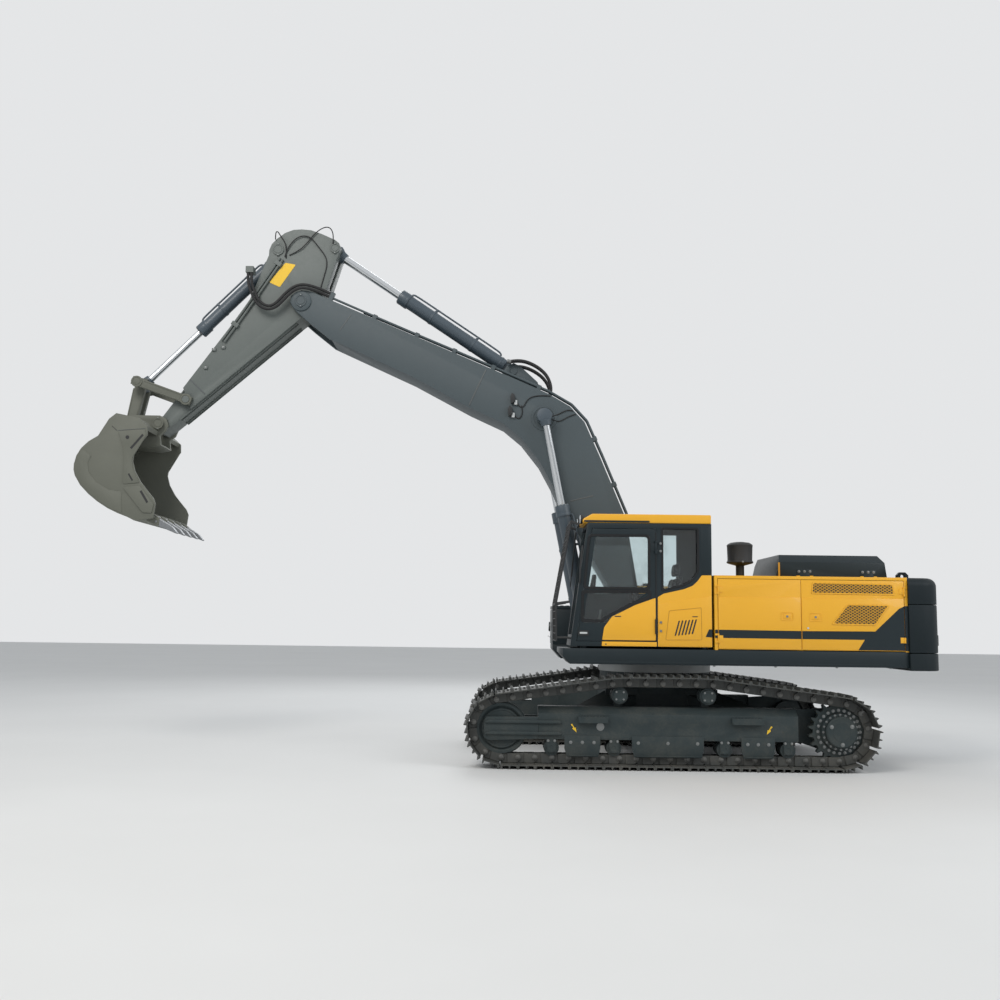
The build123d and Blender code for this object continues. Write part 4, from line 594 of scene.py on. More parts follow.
def make_materials():
    mottling_group()
    dust_group()
    scuff_group()
    relief_group()
    tone = colours()
    bare = (0.36, 0.35, 0.33)
    surface("yellow", tone.yellow, 0.34, dust=0.10, scuff=0.05, scuff_colour=(0.72, 0.36, 0.03), spread=0.05,
            bump=0.04, coat=0.25)
    surface("slate", tone.slate, 0.36, dust=0.09, scuff=0.08, spread=0.14, bump=0.06, coat=0.04, shine=0.28)
    surface("grey", tone.grey, 0.44, dust=0.08, scuff=0.10, spread=0.10, bump=0.08, shine=0.4)
    surface("arm_grey", tone.arm, 0.46, dust=0.10, scuff=0.10, spread=0.10, bump=0.08)
    surface("barrel", tone.barrel, 0.36, dust=0.10, scuff=0.10, spread=0.12, bump=0.05, coat=0.1)
    surface("olive", tone.olive, 0.55, dust=0.16, scuff=0.24, scuff_colour=bare, spread=0.14, bump=0.22)
    surface("weight", shade(tone.slate, 0.7)[:3], 0.42, dust=0.05, scuff=0.05, spread=0.16, relief=45.0,
            bump=0.16, shine=0.22)
    surface("undercarriage", (0.022, 0.034, 0.037), 0.50, dust=0.20, scuff=0.16, spread=0.16, bump=0.14,
            shine=0.3)
    surface("track", tone.track, 0.52, dust=0.30, scuff=0.45, scuff_colour=(0.13, 0.128, 0.118), spread=0.25,
            relief=70.0, bump=0.32)
    surface("track_worn", (0.120, 0.122, 0.118), 0.38, metallic=0.8, dust=0.18, scuff=0.4,
            scuff_colour=(0.07, 0.065, 0.06), spread=0.2, bump=0.18)
    surface("chrome", (0.62, 0.64, 0.66), 0.09, metallic=1.0, dust=0.0, scuff=0.06,
            scuff_colour=(0.45, 0.46, 0.48),
            spread=0.04, relief=240.0, bump=0.015)
    surface("steel", (0.22, 0.23, 0.23), 0.36, metallic=0.85, dust=0.12, scuff=0.25, spread=0.12, bump=0.10)
    surface("worn_steel", (0.22, 0.23, 0.24), 0.30, metallic=0.9, dust=0.10, scuff=0.5,
            scuff_colour=(0.16, 0.14, 0.12), spread=0.14, relief=60.0, bump=0.22)
    surface("weld", (0.082, 0.092, 0.094), 0.50, dust=0.1, scuff=0.2, relief=210.0, bump=0.5)
    surface("black", (0.018, 0.019, 0.020), 0.55, dust=0.14, scuff=0.08, relief=320.0, bump=0.16)
    surface("rubber", (0.014, 0.014, 0.015), 0.66, dust=0.22, scuff=0.10, relief=260.0, bump=0.22)
    surface("gloss_black", (0.005, 0.006, 0.007), 0.16, dust=0.02, scuff=0.03, bump=0.02, shine=0.4)
    surface("interior", (0.055, 0.058, 0.060), 0.62, dust=0.05, scuff=0.05, relief=400.0, bump=0.12)
    surface("pale", (0.50, 0.52, 0.52), 0.42, dust=0.05, scuff=0.05, spread=0.05, bump=0.03)
    surface("plate_yellow", (0.80, 0.50, 0.02), 0.45, dust=0.05, scuff=0.10, spread=0.05, bump=0.03)
    surface("mesh_yellow", (0.50, 0.25, 0.012), 0.42, dust=0.12, scuff=0.08, spread=0.10, bump=0.06)
    surface("lens", (0.62, 0.66, 0.68), 0.10, metallic=0.2, dust=0.03, scuff=0.02, spread=0.05, bump=0.03,
            coat=0.8)
    surface("red_lens", (0.42, 0.012, 0.010), 0.14, dust=0.03, scuff=0.02, spread=0.08, bump=0.03, coat=0.8)
    surface("iron", (0.060, 0.056, 0.052), 0.62, dust=0.20, scuff=0.2, spread=0.2, relief=60.0, bump=0.35)
    glass_material("glass", (0.78, 0.86, 0.87))
    cloth_material("cloth", (0.020, 0.021, 0.024))


# What the CAD nodes that stay in view are made of.
NODE_MATERIALS = {
    "undercarriage": ("centre_frame", "idlers", "sprockets", "track_rollers", "carrier_rollers"),
    "steel": ("slew_ring", "exhaust_pipe"),
    "slate": ("main_frame", "frame_pins", "hood_sill", "tool_box", "tool_box_lid", "cab_shell", "cab_door",
              "hood_lid"),
    "weight": ("counterweight",),
    "iron": ("engine_block",),
    "yellow": ("engine_body", "side_door_front", "side_door_rear", "pump_door", "hydraulic_tank", "fuel_tank",
               "cab_roof"),
    "black": ("air_precleaner", "windscreen_guard", "arm_hoses"),
    "interior": ("seat_base", "cab_consoles"),
    "cloth": ("seat",),
    "glass": ("cab_glass", "cab_door_glass"),
    "grey": ("boom", "boom_pipes", "boom_pins"),
    "arm_grey": ("arm", "arm_pipes", "arm_pins"),
    "barrel": ("boom_cylinder_barrels", "arm_cylinder_barrel", "bucket_cylinder_barrel"),
    "chrome": ("boom_cylinder_rods", "arm_cylinder_rod", "bucket_cylinder_rod"),
    "olive": ("bucket", "guide_links", "push_link", "bucket_pins"),
    "worn_steel": ("bucket_teeth",),
    "track": ("track_left", "track_right", "track_frames"),
}


def paint_nodes():
    for material, names in NODE_MATERIALS.items():
        for name in names:
            obj = NODES[name]
            for slot in obj.material_slots:
                slot.material = MATERIALS[material]
            if not obj.material_slots:
                obj.data.materials.append(MATERIALS[material])


# --------------------------------------------------------------------- tracks
PITCH_RADIUS = 0.3665
CARRIERS = (0.655, -0.477)
CARRIER_HEIGHT, CARRIER_PATH = 0.920, 0.155


def belt():
    """The pin line as (centre or start, radius or end, first angle, turn) pieces."""
    half, height = sizes().tumblers / 2, sizes().wheel_height
    wheels = [((half, height), PITCH_RADIUS)]
    wheels += [((x, CARRIER_HEIGHT), CARRIER_PATH) for x in CARRIERS]
    wheels += [((-half, height), PITCH_RADIUS)]
    normals = []
    for (c1, r1), (c2, r2) in zip(wheels, wheels[1:] + wheels[:1]):
        dx, dz = c2[0] - c1[0], c2[1] - c1[1]
        length = math.hypot(dx, dz)
        lean = math.atan2(r2 - r1, math.sqrt(length ** 2 - (r2 - r1) ** 2))
        normals.append(math.atan2(dz, dx) - math.pi / 2 - lean)
    pieces = []
    for i, (centre, radius) in enumerate(wheels):
        first, last = normals[i - 1], normals[i]
        turn = (last - first) % (2 * math.pi)
        if turn > 1.5 * math.pi:
            turn -= 2 * math.pi
        pieces.append((centre, radius, first, turn))
        after, after_radius = wheels[(i + 1) % len(wheels)]
        start = (centre[0] + radius * math.cos(last), centre[1] + radius * math.sin(last))
        end = (after[0] + after_radius * math.cos(last), after[1] + after_radius * math.sin(last))
        pieces.append((start, end, None, None))
    return pieces


def piece_length(piece):
    a, b, first, turn = piece
    return b * abs(turn) if first is not None else math.hypot(b[0] - a[0], b[1] - a[1])


def on_belt(pieces, distance):
    distance %= sum(piece_length(p) for p in pieces)
    for piece in pieces:
        length = piece_length(piece)
        if distance <= length:
            break
        distance -= length
    a, b, first, turn = piece
    if first is None:
        share = distance / length
        return Vector((a[0] + share * (b[0] - a[0]), 0, a[1] + share * (b[1] - a[1])))
    angle = first + turn * distance / length
    return Vector((a[0] + b * math.cos(angle), 0, a[1] + b * math.sin(angle)))


def track_shoe(pitch):
    """One triple-grouser shoe with its bolts: X along the track, Z outwards."""
    half, low, top, tip = pitch / 2 + 0.004, 0.071, 0.085, 0.1225
    section = [(-half, low + 0.004), (-half + 0.012, low), (half - 0.022, low), (half, low - 0.010),
               (half, low + 0.004)]
    for middle in (half - 0.012, 0.0, -half + 0.014):
        section += [(middle + 0.014, top), (middle + 0.006, tip), (middle - 0.006, tip),
                    (middle - 0.014, top)]
    section += [(-half, top - 0.002)]
    shoe = painted(plate(section, (-0.300, 0.300), "y", bevel=0.003, segments=1), "track")
    places = [(x, y, top - 0.001) for x in (-0.055, 0.055) for y in (-0.082, 0.082)]
    heads = painted(bolts(places, (0, 0, 1), 0.016, 0.012, washer=False), "track")
    return joined([shoe, heads])


def track_link(pitch):
    """A pair of forged links with their pin, bushing and bolts."""
    parts = []
    reach = pitch / 2
    for side in (-1, 1):
        for back, front, place in ((-reach - 0.034, 0.030, 0.090), (-0.030, reach + 0.034, 0.072)):
            edge = back if back < -0.05 else front
            inward = 1 if edge > 0 else -1
            outline = [(edge, -0.018), (edge, 0.022), (edge - inward * 0.024, 0.044),
                       (edge - inward * 0.050, 0.068)]
            other = back + front - edge
            outline += [(other, 0.068), (other, -0.049), (edge - inward * 0.040, -0.049),
                        (edge - inward * 0.014, -0.038)]
            span = sorted((side * (place - 0.012), side * (place + 0.012)))
            parts.append(plate(outline, span, "y", bevel=0.005, segments=1))
    pin = bar((reach, -0.118, 0), (reach, 0.118, 0), 0.022, sides=14, bevel=0.002)
    bushing = bar((reach, -0.060, 0), (reach, 0.060, 0), 0.034, sides=14, bevel=0.0)
    caps = [bar((reach, side * 0.102, 0), (reach, side * 0.110, 0), 0.036, sides=14, bevel=0.002)
            for side in (-1, 1)]
    link = painted(joined(parts), "track")
    return joined([link, painted(joined([pin, bushing] + caps), "track_worn")])


def build_tracks():
    pieces = belt()
    total = sum(piece_length(p) for p in pieces)
    count = sizes().shoe_count
    pitch = total / count
    shoe, link = track_shoe(pitch), track_link(pitch)
    for side, name in ((1, "track_left"), (-1, "track_right")):
        shoes, links = [], []
        for i in range(count):
            start, end = on_belt(pieces, i * pitch), on_belt(pieces, (i + 1) * pitch)
            along = (end - start).normalized()
            out = Vector((along.z, 0, -along.x))
            turn = Matrix((along, Vector((0, 1, 0)), out)).transposed().to_4x4()
            place = Matrix.Translation((start + end) / 2 + Vector((0, side * sizes().gauge / 2, 0))) @ turn
            shoes.append(copied(shoe, place))
            links.append(copied(link, place))
        finished(joined(shoes), name + "_shoes", "undercarriage", replaces=(name,))
        finished(joined(links), name + "_links", "undercarriage")
    for spare in (shoe, link):
        bpy.data.objects.remove(spare)


# -------------------------------------------------------------- undercarriage
def build_undercarriage():
    gauge, height = sizes().gauge / 2, sizes().wheel_height
    frames = painted(refined("track_frames", 0.008), "undercarriage")
    finished(frames, "track_frames_detail", "undercarriage", replaces=("track_frames",))
    side = gauge + 0.150
    covers, marks, fittings = [], [], []
    cover = [(1.70, 0.365), (1.70, 0.640), (2.36, 0.640), (2.395, 0.585), (2.395, 0.375), (2.33, 0.340)]
    covers.append(plate(rounded(cover, 0.03), (side - 0.002, side + 0.010), "y", 0.004))
    for z in (0.415, 0.560):
        rib = [(1.42, 0.0), (1.40, 0.024), (1.44, 0.042), (2.32, 0.042), (2.38, 0.020), (2.38, 0.0)]
        covers.append(plate([(x, z + dz) for x, dz in rib], (side, side + 0.034), "y", 0.007))
    # openings, plugs and pads on the side plate
    fittings.append(lathe([(0, 0.050), (0.004, 0.050), (0.004, 0.036), (0.001, 0.034)], (0.907, side, 0.527)))
    for low, high in ((0.938, 1.335), (-0.380, 0.475), (-1.284, -0.918)):
        places = [(x, side + 0.018, 0.33) for x in (low + 0.05, (low + high) / 2, high - 0.05)]
        fittings.append(bolts(places, (0, 1, 0)))
        covers.append(plate([(low + 0.03, 0.158), (high - 0.03, 0.158), (high - 0.01, 0.176),
                             (low + 0.01, 0.176)],
                            (side + 0.016, side + 0.030), "y", 0.004))
    for low, high in ((0.809, 1.195), (-1.174, -0.766)):
        for i in range(9):
            x = low + 0.03 + (high - low - 0.06) * i / 8
            covers.append(block((x - 0.008, x + 0.008), (side + 0.008, side + 0.055), (0.653, 0.660), 0.002,
                                1))
        covers.append(block((low + 0.01, high - 0.01), (side + 0.060, side + 0.066), (0.575, 0.648), 0.002,
                            1))
    for x, way in ((1.255, 1), (-1.262, -1)):
        shape = [(-0.030, 0.055), (0.004, 0.020), (-0.010, 0.006), (0.045, -0.042), (0.034, 0.020),
                 (0.022, 0.012),
                 (-0.012, 0.066)]
        arrow = [(x + (-dx if way > 0 else dx), 0.495 + dz) for dx, dz in shape]
        marks.append(painted(plate(arrow, (side - 0.001, side + 0.0015), "y", 0.0, 1), "plate_yellow"))
    # final drive: bolt rings and the plugs of its cover
    centre = Vector((-sizes().tumblers / 2, gauge, height))
    for offset, radius, count, head in ((0.046, 0.272, 24, 0.014), (0.108, 0.218, 20, 0.011)):
        fittings.append(bolts(ring_places(centre + Vector((0, offset, 0)), radius, count), (0, 1, 0), head,
                              0.012))
    for offset, radius in ((0.178, 0.186), (0.178, 0.120)):
        ring = [(offset - 0.004, radius), (offset + 0.002, radius - 0.004), (offset + 0.002, radius - 0.016),
                (offset - 0.004, radius - 0.020)]
        covers.append(lathe(ring, centre, "y", 48))
    fittings.append(bolts(ring_places(centre + Vector((0, 0.178, 0)), 0.150, 3, first=0.5), (0, 1, 0), 0.018,
                          0.010))
    # idler, rollers and carriers: shaft ends, caps and bolts
    idler = Vector((sizes().tumblers / 2, gauge, height))
    covers.append(lathe([(0.104, 0.250), (0.112, 0.246), (0.112, 0.228), (0.100, 0.222)], idler, "y", 48))
    for x in (1.530, 1.130, 0.730, 0.265, -0.230, -0.680, -1.095, -1.490):
        place = Vector((x, gauge, 0.2552))
        covers.append(lathe([(0.142, 0.060), (0.154, 0.056), (0.154, 0.030), (0.150, 0.026)], place, "y", 28))
        fittings.append(bolts([(x + dx, side + 0.006, 0.345) for dx in (-0.042, 0.042)], (0, 1, 0), 0.012))
    for x in CARRIERS:
        place = Vector((x, gauge, CARRIER_HEIGHT))
        profile = [(0.125, 0.088), (0.148, 0.082), (0.154, 0.060), (0.150, 0.052), (0.150, 0.020)]
        covers.append(lathe(profile, place, "y", 36, 0.0))
        fittings.append(bolts(ring_places(place + Vector((0, 0.152, 0)), 0.066, 4, first=0.8), (0, 1, 0),
                              0.009, 0.008))
    cover = mirrored(painted(joined(covers), "undercarriage"))
    finished(cover, "track_frame_covers", "undercarriage")
    fitting = mirrored(painted(joined(fittings), "steel"))
    finished(fitting, "undercarriage_bolts", "undercarriage")
    finished(mirrored(joined(marks)), "direction_marks", "undercarriage")
    # slew ring bolts
    ring = painted(bolts(ring_places((0, 0, 1.262), 0.745, 36, "z"), (0, 0, -1), 0.015, 0.012), "steel")
    finished(ring, "slew_ring_bolts", "undercarriage")


# ------------------------------------------------------------ upper structure
def louvre_grille(outline, y, step, bar_width):
    """A pressed mesh in a frame: slanted bars both ways inside an outline."""
    xs, zs = zip(*outline)
    parts = []
    reach = (max(xs) - min(xs)) + (max(zs) - min(zs))
    for way in (1, -1):
        offset = -reach
        while offset < reach:
            ends = crossing(outline, way * 0.62, min(zs) + offset if way > 0 else max(zs) + offset, min(xs))
            offset += step
            if ends is None:
                continue
            (x1, z1), (x2, z2) = ends
            length = math.hypot(x2 - x1, z2 - z1)
            if length < 0.02:
                continue
            nx, nz = -(z2 - z1) / length * bar_width / 2, (x2 - x1) / length * bar_width / 2
            strip = [(x1 + nx, z1 + nz), (x1 - nx, z1 - nz), (x2 - nx, z2 - nz), (x2 + nx, z2 + nz)]
            parts.append(plate(strip, (y - 0.001, y + (0.004 if way > 0 else 0.003)), "y", 0.0, 1))
    return painted(joined(parts), "mesh_yellow")


def crossing(outline, slope, height, start):
    """Where a sloping line enters and leaves an outline, or None."""
    hits = []
    for (x1, z1), (x2, z2) in zip(outline, outline[1:] + outline[:1]):
        f1 = z1 - height - slope * (x1 - start)
        f2 = z2 - height - slope * (x2 - start)
        if (f1 < 0) != (f2 < 0):
            t = f1 / (f1 - f2)
            hits.append((x1 + t * (x2 - x1), z1 + t * (z2 - z1)))
    return hits if len(hits) == 2 else None


def inset(outline, distance):
    """An outline moved inwards by a distance, corners kept sharp."""
    turn = sum(a[0] * b[1] - b[0] * a[1] for a, b in zip(outline, outline[1:] + outline[:1]))
    result = []
    for before, corner, after in zip(outline[-1:] + outline[:-1], outline, outline[1:] + outline[:1]):
        first = (Vector(corner) - Vector(before)).normalized()
        second = (Vector(after) - Vector(corner)).normalized()
        normals = [Vector((-w.y, w.x)) * (1 if turn > 0 else -1) for w in (first, second)]
        total = (normals[0] + normals[1]) / (1 + normals[0].dot(normals[1]))
        result.append(tuple(Vector(corner) + total * distance))
    return result


def frame_round(outline, y, width, rise, bevel=0.002, corner=0.02):
    """A flat frame that follows an outline, standing out of a skin."""
    outer = plate(rounded(outline, corner), (y - 0.004, y + rise), "y", 0.0, 1)
    hole = plate(rounded(inset(outline, width), corner * 0.7), (y - 0.02, y + rise + 0.02), "y", 0.0, 1)
    return soften(cut(outer, hole), bevel, 2)


def latch(x, z, y):
    """A square door latch in a shallow tray, with a key cylinder."""
    tray = [(x - 0.082, z - 0.055), (x + 0.082, z - 0.055), (x + 0.082, z + 0.055), (x - 0.082, z + 0.055)]
    parts = [painted(frame_round(tray, y, 0.010, 0.005), "yellow")]
    parts.append(painted(block((x - 0.045, x + 0.045), (y - 0.001, y + 0.006), (z - 0.032, z + 0.032), 0.003),
                         "yellow"))
    parts.append(painted(lathe([(0, 0.016), (0.010, 0.015), (0.010, 0.006)], (x, y, z), "y", 20), "steel"))
    return joined(parts)


def build_rear_body():
    y = DECK_SIDE
    for node in ("side_door_front", "side_door_rear", "pump_door"):
        skin = painted(refined(node, sizes().panel_edge, 3), "yellow")
        finished(skin, node + "_skin", node, replaces=(node,))
    for node in ("engine_body", "hydraulic_tank", "fuel_tank"):
        skin = painted(refined(node, sizes().panel_edge, 3), "yellow")
        if node == "engine_body":
            painted_where(skin, "slate", lambda c: c.x < -3.0 and c.z < 2.11 and c.y > 1.40)
        finished(skin, node + "_skin", "upper", replaces=(node,))
    # doors: a raised field below the crease, the latch, the stripe and the grilles
    low, high = 1.535, 2.205
    for node, x1, x2 in (("side_door_front", -1.700, -0.632), ("side_door_rear", -3.040, -1.714)):
        field = [(x1, low), (x2, low), (x2, high - 0.010), (x1, high)]
        details = [painted(plate(field, (y - 0.002, y + 0.006), "y", 0.004, 2), "yellow")]
        if node == "side_door_front":
            details.append(latch(-1.521, 1.958, y + 0.006))
            stripe = [(x1, 1.668), (x2, 1.671), (x2, 1.776), (x1, 1.772)]
        else:
            details.append(latch(-1.889, 1.953, y + 0.006))
            stripe = [(-1.714, 1.668), (-1.714, 1.772), (-2.659, 1.778), (-2.975, 2.075), (-3.040, 2.105),
                      (-3.040, 1.535), (-2.433, 1.535), (-2.521, 1.669)]
            for outline in ([(-1.858, 2.405), (-2.905, 2.392), (-2.923, 2.251), (-1.840, 2.256)],
                            [(-2.306, 2.126), (-2.851, 2.119), (-2.662, 1.855), (-2.095, 1.861)]):
                base = y + 0.006 if outline[0][1] < 2.2 else y
                # a black plate behind each grille stands for the dark space behind the louvres: painted shade
                details.append(painted(plate(rounded(outline, 0.02), (base - 0.001, base + 0.0015), "y", 0.0,
                                             1), "black"))
                details.append(louvre_grille(outline, base + 0.002, 0.036, 0.011))
                details.append(painted(frame_round(outline, base, 0.014, 0.009), "yellow"))
            details.append(painted(lathe([(0, 0.014), (0.006, 0.012), (0.006, 0.004)],
                                         (-1.79, y + 0.006, 1.81)), "pale"))
        details.append(painted(plate(stripe, (y + 0.004, y + 0.0075), "y", 0.0, 1), "slate"))
        finished(joined(details), node + "_detail", node)
    # pump door on the right: latch and an outlet grille
    outline = [(-2.80, 2.10), (-1.90, 2.10), (-1.90, 1.72), (-2.80, 1.72)]
    # the black plate behind the grille is painted shade of the space behind it
    right = [painted(plate(rounded(outline, 0.03), (y - 0.001, y + 0.002), "y", 0.0, 1), "black")]
    right.append(louvre_grille(outline, y + 0.002, 0.044, 0.010))
    right.append(painted(frame_round(outline, y, 0.016, 0.010), "yellow"))
    right.append(latch(-1.62, 1.95, y))
    flip = Matrix.Scale(-1, 4, (0, 1, 0))
    panel = joined(right)
    panel.data.transform(flip)
    panel.data.flip_normals()
    finished(panel, "pump_door_detail", "pump_door")
    # the band that carries the stripe over the fixed posts, and panel seams
    band = [painted(block((-0.620, -0.584), (y - 0.002, y + 0.0075), (1.671, 1.776), 0.002, 1), "slate")]
    band.append(painted(block((-3.088, -3.048), (y - 0.002, y + 0.0075), (1.530, 2.110), 0.002, 1), "slate"))
    finished(joined(band), "body_bands", "upper")
    # tank fillers and the tread bars on the right
    tank = []
    for x, yy, top, radius in ((-0.05, -1.05, 2.40, 0.085), (-1.05, -1.05, 2.47, 0.070)):
        tank.append(painted(lathe([(0, radius), (0.012, radius), (0.016, radius * 0.9),
                                   (0.050, radius * 0.86),
                                   (0.058, radius * 0.7)], (x, yy, top), "z", 32), "black"))
        tank.append(painted(bolts(ring_places((x, yy, top), radius * 1.25, 6, "z"), (0, 0, 1), 0.010, 0.008),
                            "steel"))
    for i in range(7):
        x = -0.58 + 0.165 * i
        tank.append(painted(block((x, x + 0.12), (-1.42, -0.62), (2.400, 2.408), 0.003, 1), "black"))
    finished(joined(tank), "tank_fittings", "upper")


def build_counterweight():
    whole = refined("counterweight", 0.0)
    castings = []
    for low, high in CASTINGS:
        part = copied(whole)
        for height, way in ((low, -1), (high, 1)):
            in_edit(part, lambda: bpy.ops.mesh.bisect(plane_co=(0, 0, height), plane_no=(0, 0, way),
                                                      use_fill=True,
                                                      clear_outer=True))
        castings.append(soften(part, 0.012, 3, 32))
    bpy.data.objects.remove(whole)
    shell = painted(joined(castings), "weight")
    finished(shell, "counterweight_casting", "upper", replaces=("counterweight",))
    parts = []
    # cover plates over the fixing bolts, lamps and a blank plate at the rear
    for side in (-1, 1):
        y = side * 1.10
        rear = REAR_CENTRE - math.sqrt(REAR_RADIUS ** 2 - y ** 2)
        lamp = block((rear - 0.012, rear + 0.02), (y - 0.11, y + 0.11), (1.62, 1.72), 0.008, 3)
        parts.append(painted(lamp, "red_lens"))
        parts.append(painted(block((rear - 0.006, rear + 0.03), (y - 0.13, y + 0.13), (1.60, 1.74), 0.006, 2),
                             "black"))
        parts.append(painted(bolts([(-3.25, side * 0.9 + d, 2.48) for d in (-0.05, 0.05)], (0, 0, 1)),
                             "steel"))
    parts.append(painted(block((-3.655, -3.63), (-0.30, 0.30), (1.86, 2.00), 0.006, 2), "slate"))
    for x, y in ((-3.20, 1.18), (-3.20, -1.18), (-3.45, 0.0)):
        parts.append(painted(lathe([(0, 0.045), (0.008, 0.043), (0.010, 0.030)], (x, y, 2.48), "z", 24),
                             "black"))
    finished(joined(parts), "counterweight_fittings", "upper")


def build_hood():
    hood = painted(refined("hood_lid", 0.016, 3), "slate")
    finished(hood, "hood_skin", "hood_lid", replaces=("hood_lid",))
    parts = []
    for x in (-1.914, -2.776):
        parts.append(painted(block((x - 0.105, x + 0.105), (0.899, 0.907), (2.505, 2.600), 0.003), "slate"))
        places = [(x + d, 0.907, 2.572) for d in (-0.075, 0.0, 0.075)]
        parts.append(painted(bolts(places, (0, 1, 0), 0.013, 0.010), "steel"))
    strip = plate([(0.898, 2.50), (0.9035, 2.50), (0.9035, 2.69), (0.898, 2.69)], (-1.585, -1.560), "x",
                  0.002, 1)
    parts.append(painted(strip, "mesh_yellow"))
    # grab handle on the far edge
    parts.append(painted(tube([(-2.20, -0.498, 2.62), (-2.20, -0.512, 2.62), (-2.35, -0.513, 2.62),
                               (-2.50, -0.512, 2.62), (-2.50, -0.498, 2.62)], 0.009), "black"))
    finished(joined(parts), "hood_fittings", "hood_lid")
    # pre-cleaner: bowl, clamp ring, vanes and cap
    x, y = -1.150, 0.420
    profile = [(2.485, 0.072), (2.500, 0.072), (2.500, 0.058), (2.665, 0.058), (2.690, 0.150), (2.700, 0.178),
               (2.712, 0.184), (2.724, 0.178), (2.740, 0.170), (2.925, 0.176), (2.948, 0.180), (2.962, 0.172),
               (2.986, 0.135), (2.997, 0.060)]
    parts = [painted(lathe(profile, (x, y, 0), "z", 64, 0.0), "black")]
    for i in range(24):
        angle = 2 * math.pi * i / 24
        vane = block((-0.003, 0.003), (0.150, 0.181), (2.700, 2.722), 0.0, 1)
        turn = Matrix.Translation((x, y, 0)) @ Matrix.Rotation(angle, 4, "Z")
        vane.data.transform(turn)
        parts.append(painted(vane, "black"))
    parts.append(painted(bolts([(x, y + 0.186, 2.712)], (0, 1, 0), 0.010, 0.006), "steel"))
    finished(joined(parts), "precleaner_detail", "upper", replaces=("air_precleaner",))
    # exhaust stack
    stack = painted(lathe([(2.485, 0.085), (2.505, 0.085), (2.505, 0.062), (2.885, 0.062), (2.897, 0.058)],
                          (-2.70, -0.90, 0), "z", 40, 0.0), "steel")
    # a black core shows at the mouth: soot and painted shade inside the pipe
    inside = painted(lathe([(2.60, 0.050), (2.8985, 0.050)], (-2.70, -0.90, 0), "z", 40), "black")
    finished(joined([stack, inside]), "exhaust_stack", "upper", replaces=("exhaust_pipe",))


def build_deck():
    frame_piece = painted(refined("main_frame", 0.006, 2), "slate")
    finished(frame_piece, "main_frame_plates", "upper", replaces=("main_frame",))
    box_piece = painted(refined("tool_box", sizes().panel_edge, 2), "slate")
    finished(box_piece, "tool_box_shell", "upper", replaces=("tool_box",))
    lid = [painted(refined("tool_box_lid", sizes().panel_edge, 2), "slate")]
    for i in range(9):
        x = 0.66 + 0.085 * i
        lid.append(painted(block((x, x + 0.045), (-1.38, -0.68), (2.092, 2.099), 0.003, 1), "black"))
    lid.append(painted(block((1.395, 1.418), (-1.08, -0.98), (2.052, 2.084), 0.003), "steel"))
    finished(joined(lid), "tool_box_lid_tread", "tool_box_lid", replaces=("tool_box_lid",))
    parts = []
    # edge strips and bolts along the deck
    for side in (-1, 1):
        parts.append(painted(block((-3.05, 1.20), sorted((side * 1.438, side * 1.452)), (1.330, 1.352), 0.003,
                                   1), "slate"))
        parts.append(painted(bolts([(x, side * 1.30, 1.306) for x in (1.0, 0.2, -0.6, -1.4, -2.2, -2.9)],
                                   (0, 0, -1)),
                             "steel"))
    for x, z in ((1.30, 1.63), (1.30, 1.80)):
        parts.append(painted(bolts([(1.452, yy, z) for yy in (-1.30, -0.75)], (1, 0, 0), 0.011, 0.008),
                             "steel"))
    # work lamp on the tool box's front
    parts.append(painted(lathe([(-0.004, 0.062), (0.018, 0.060), (0.020, 0.050)], (1.448, -1.03, 1.78), "x",
                               32), "lens"))
    parts.append(painted(lathe([(-0.006, 0.072), (0.012, 0.072), (0.012, 0.064)], (1.447, -1.03, 1.78), "x",
                               32), "black"))
    finished(joined(parts), "deck_fittings", "upper")


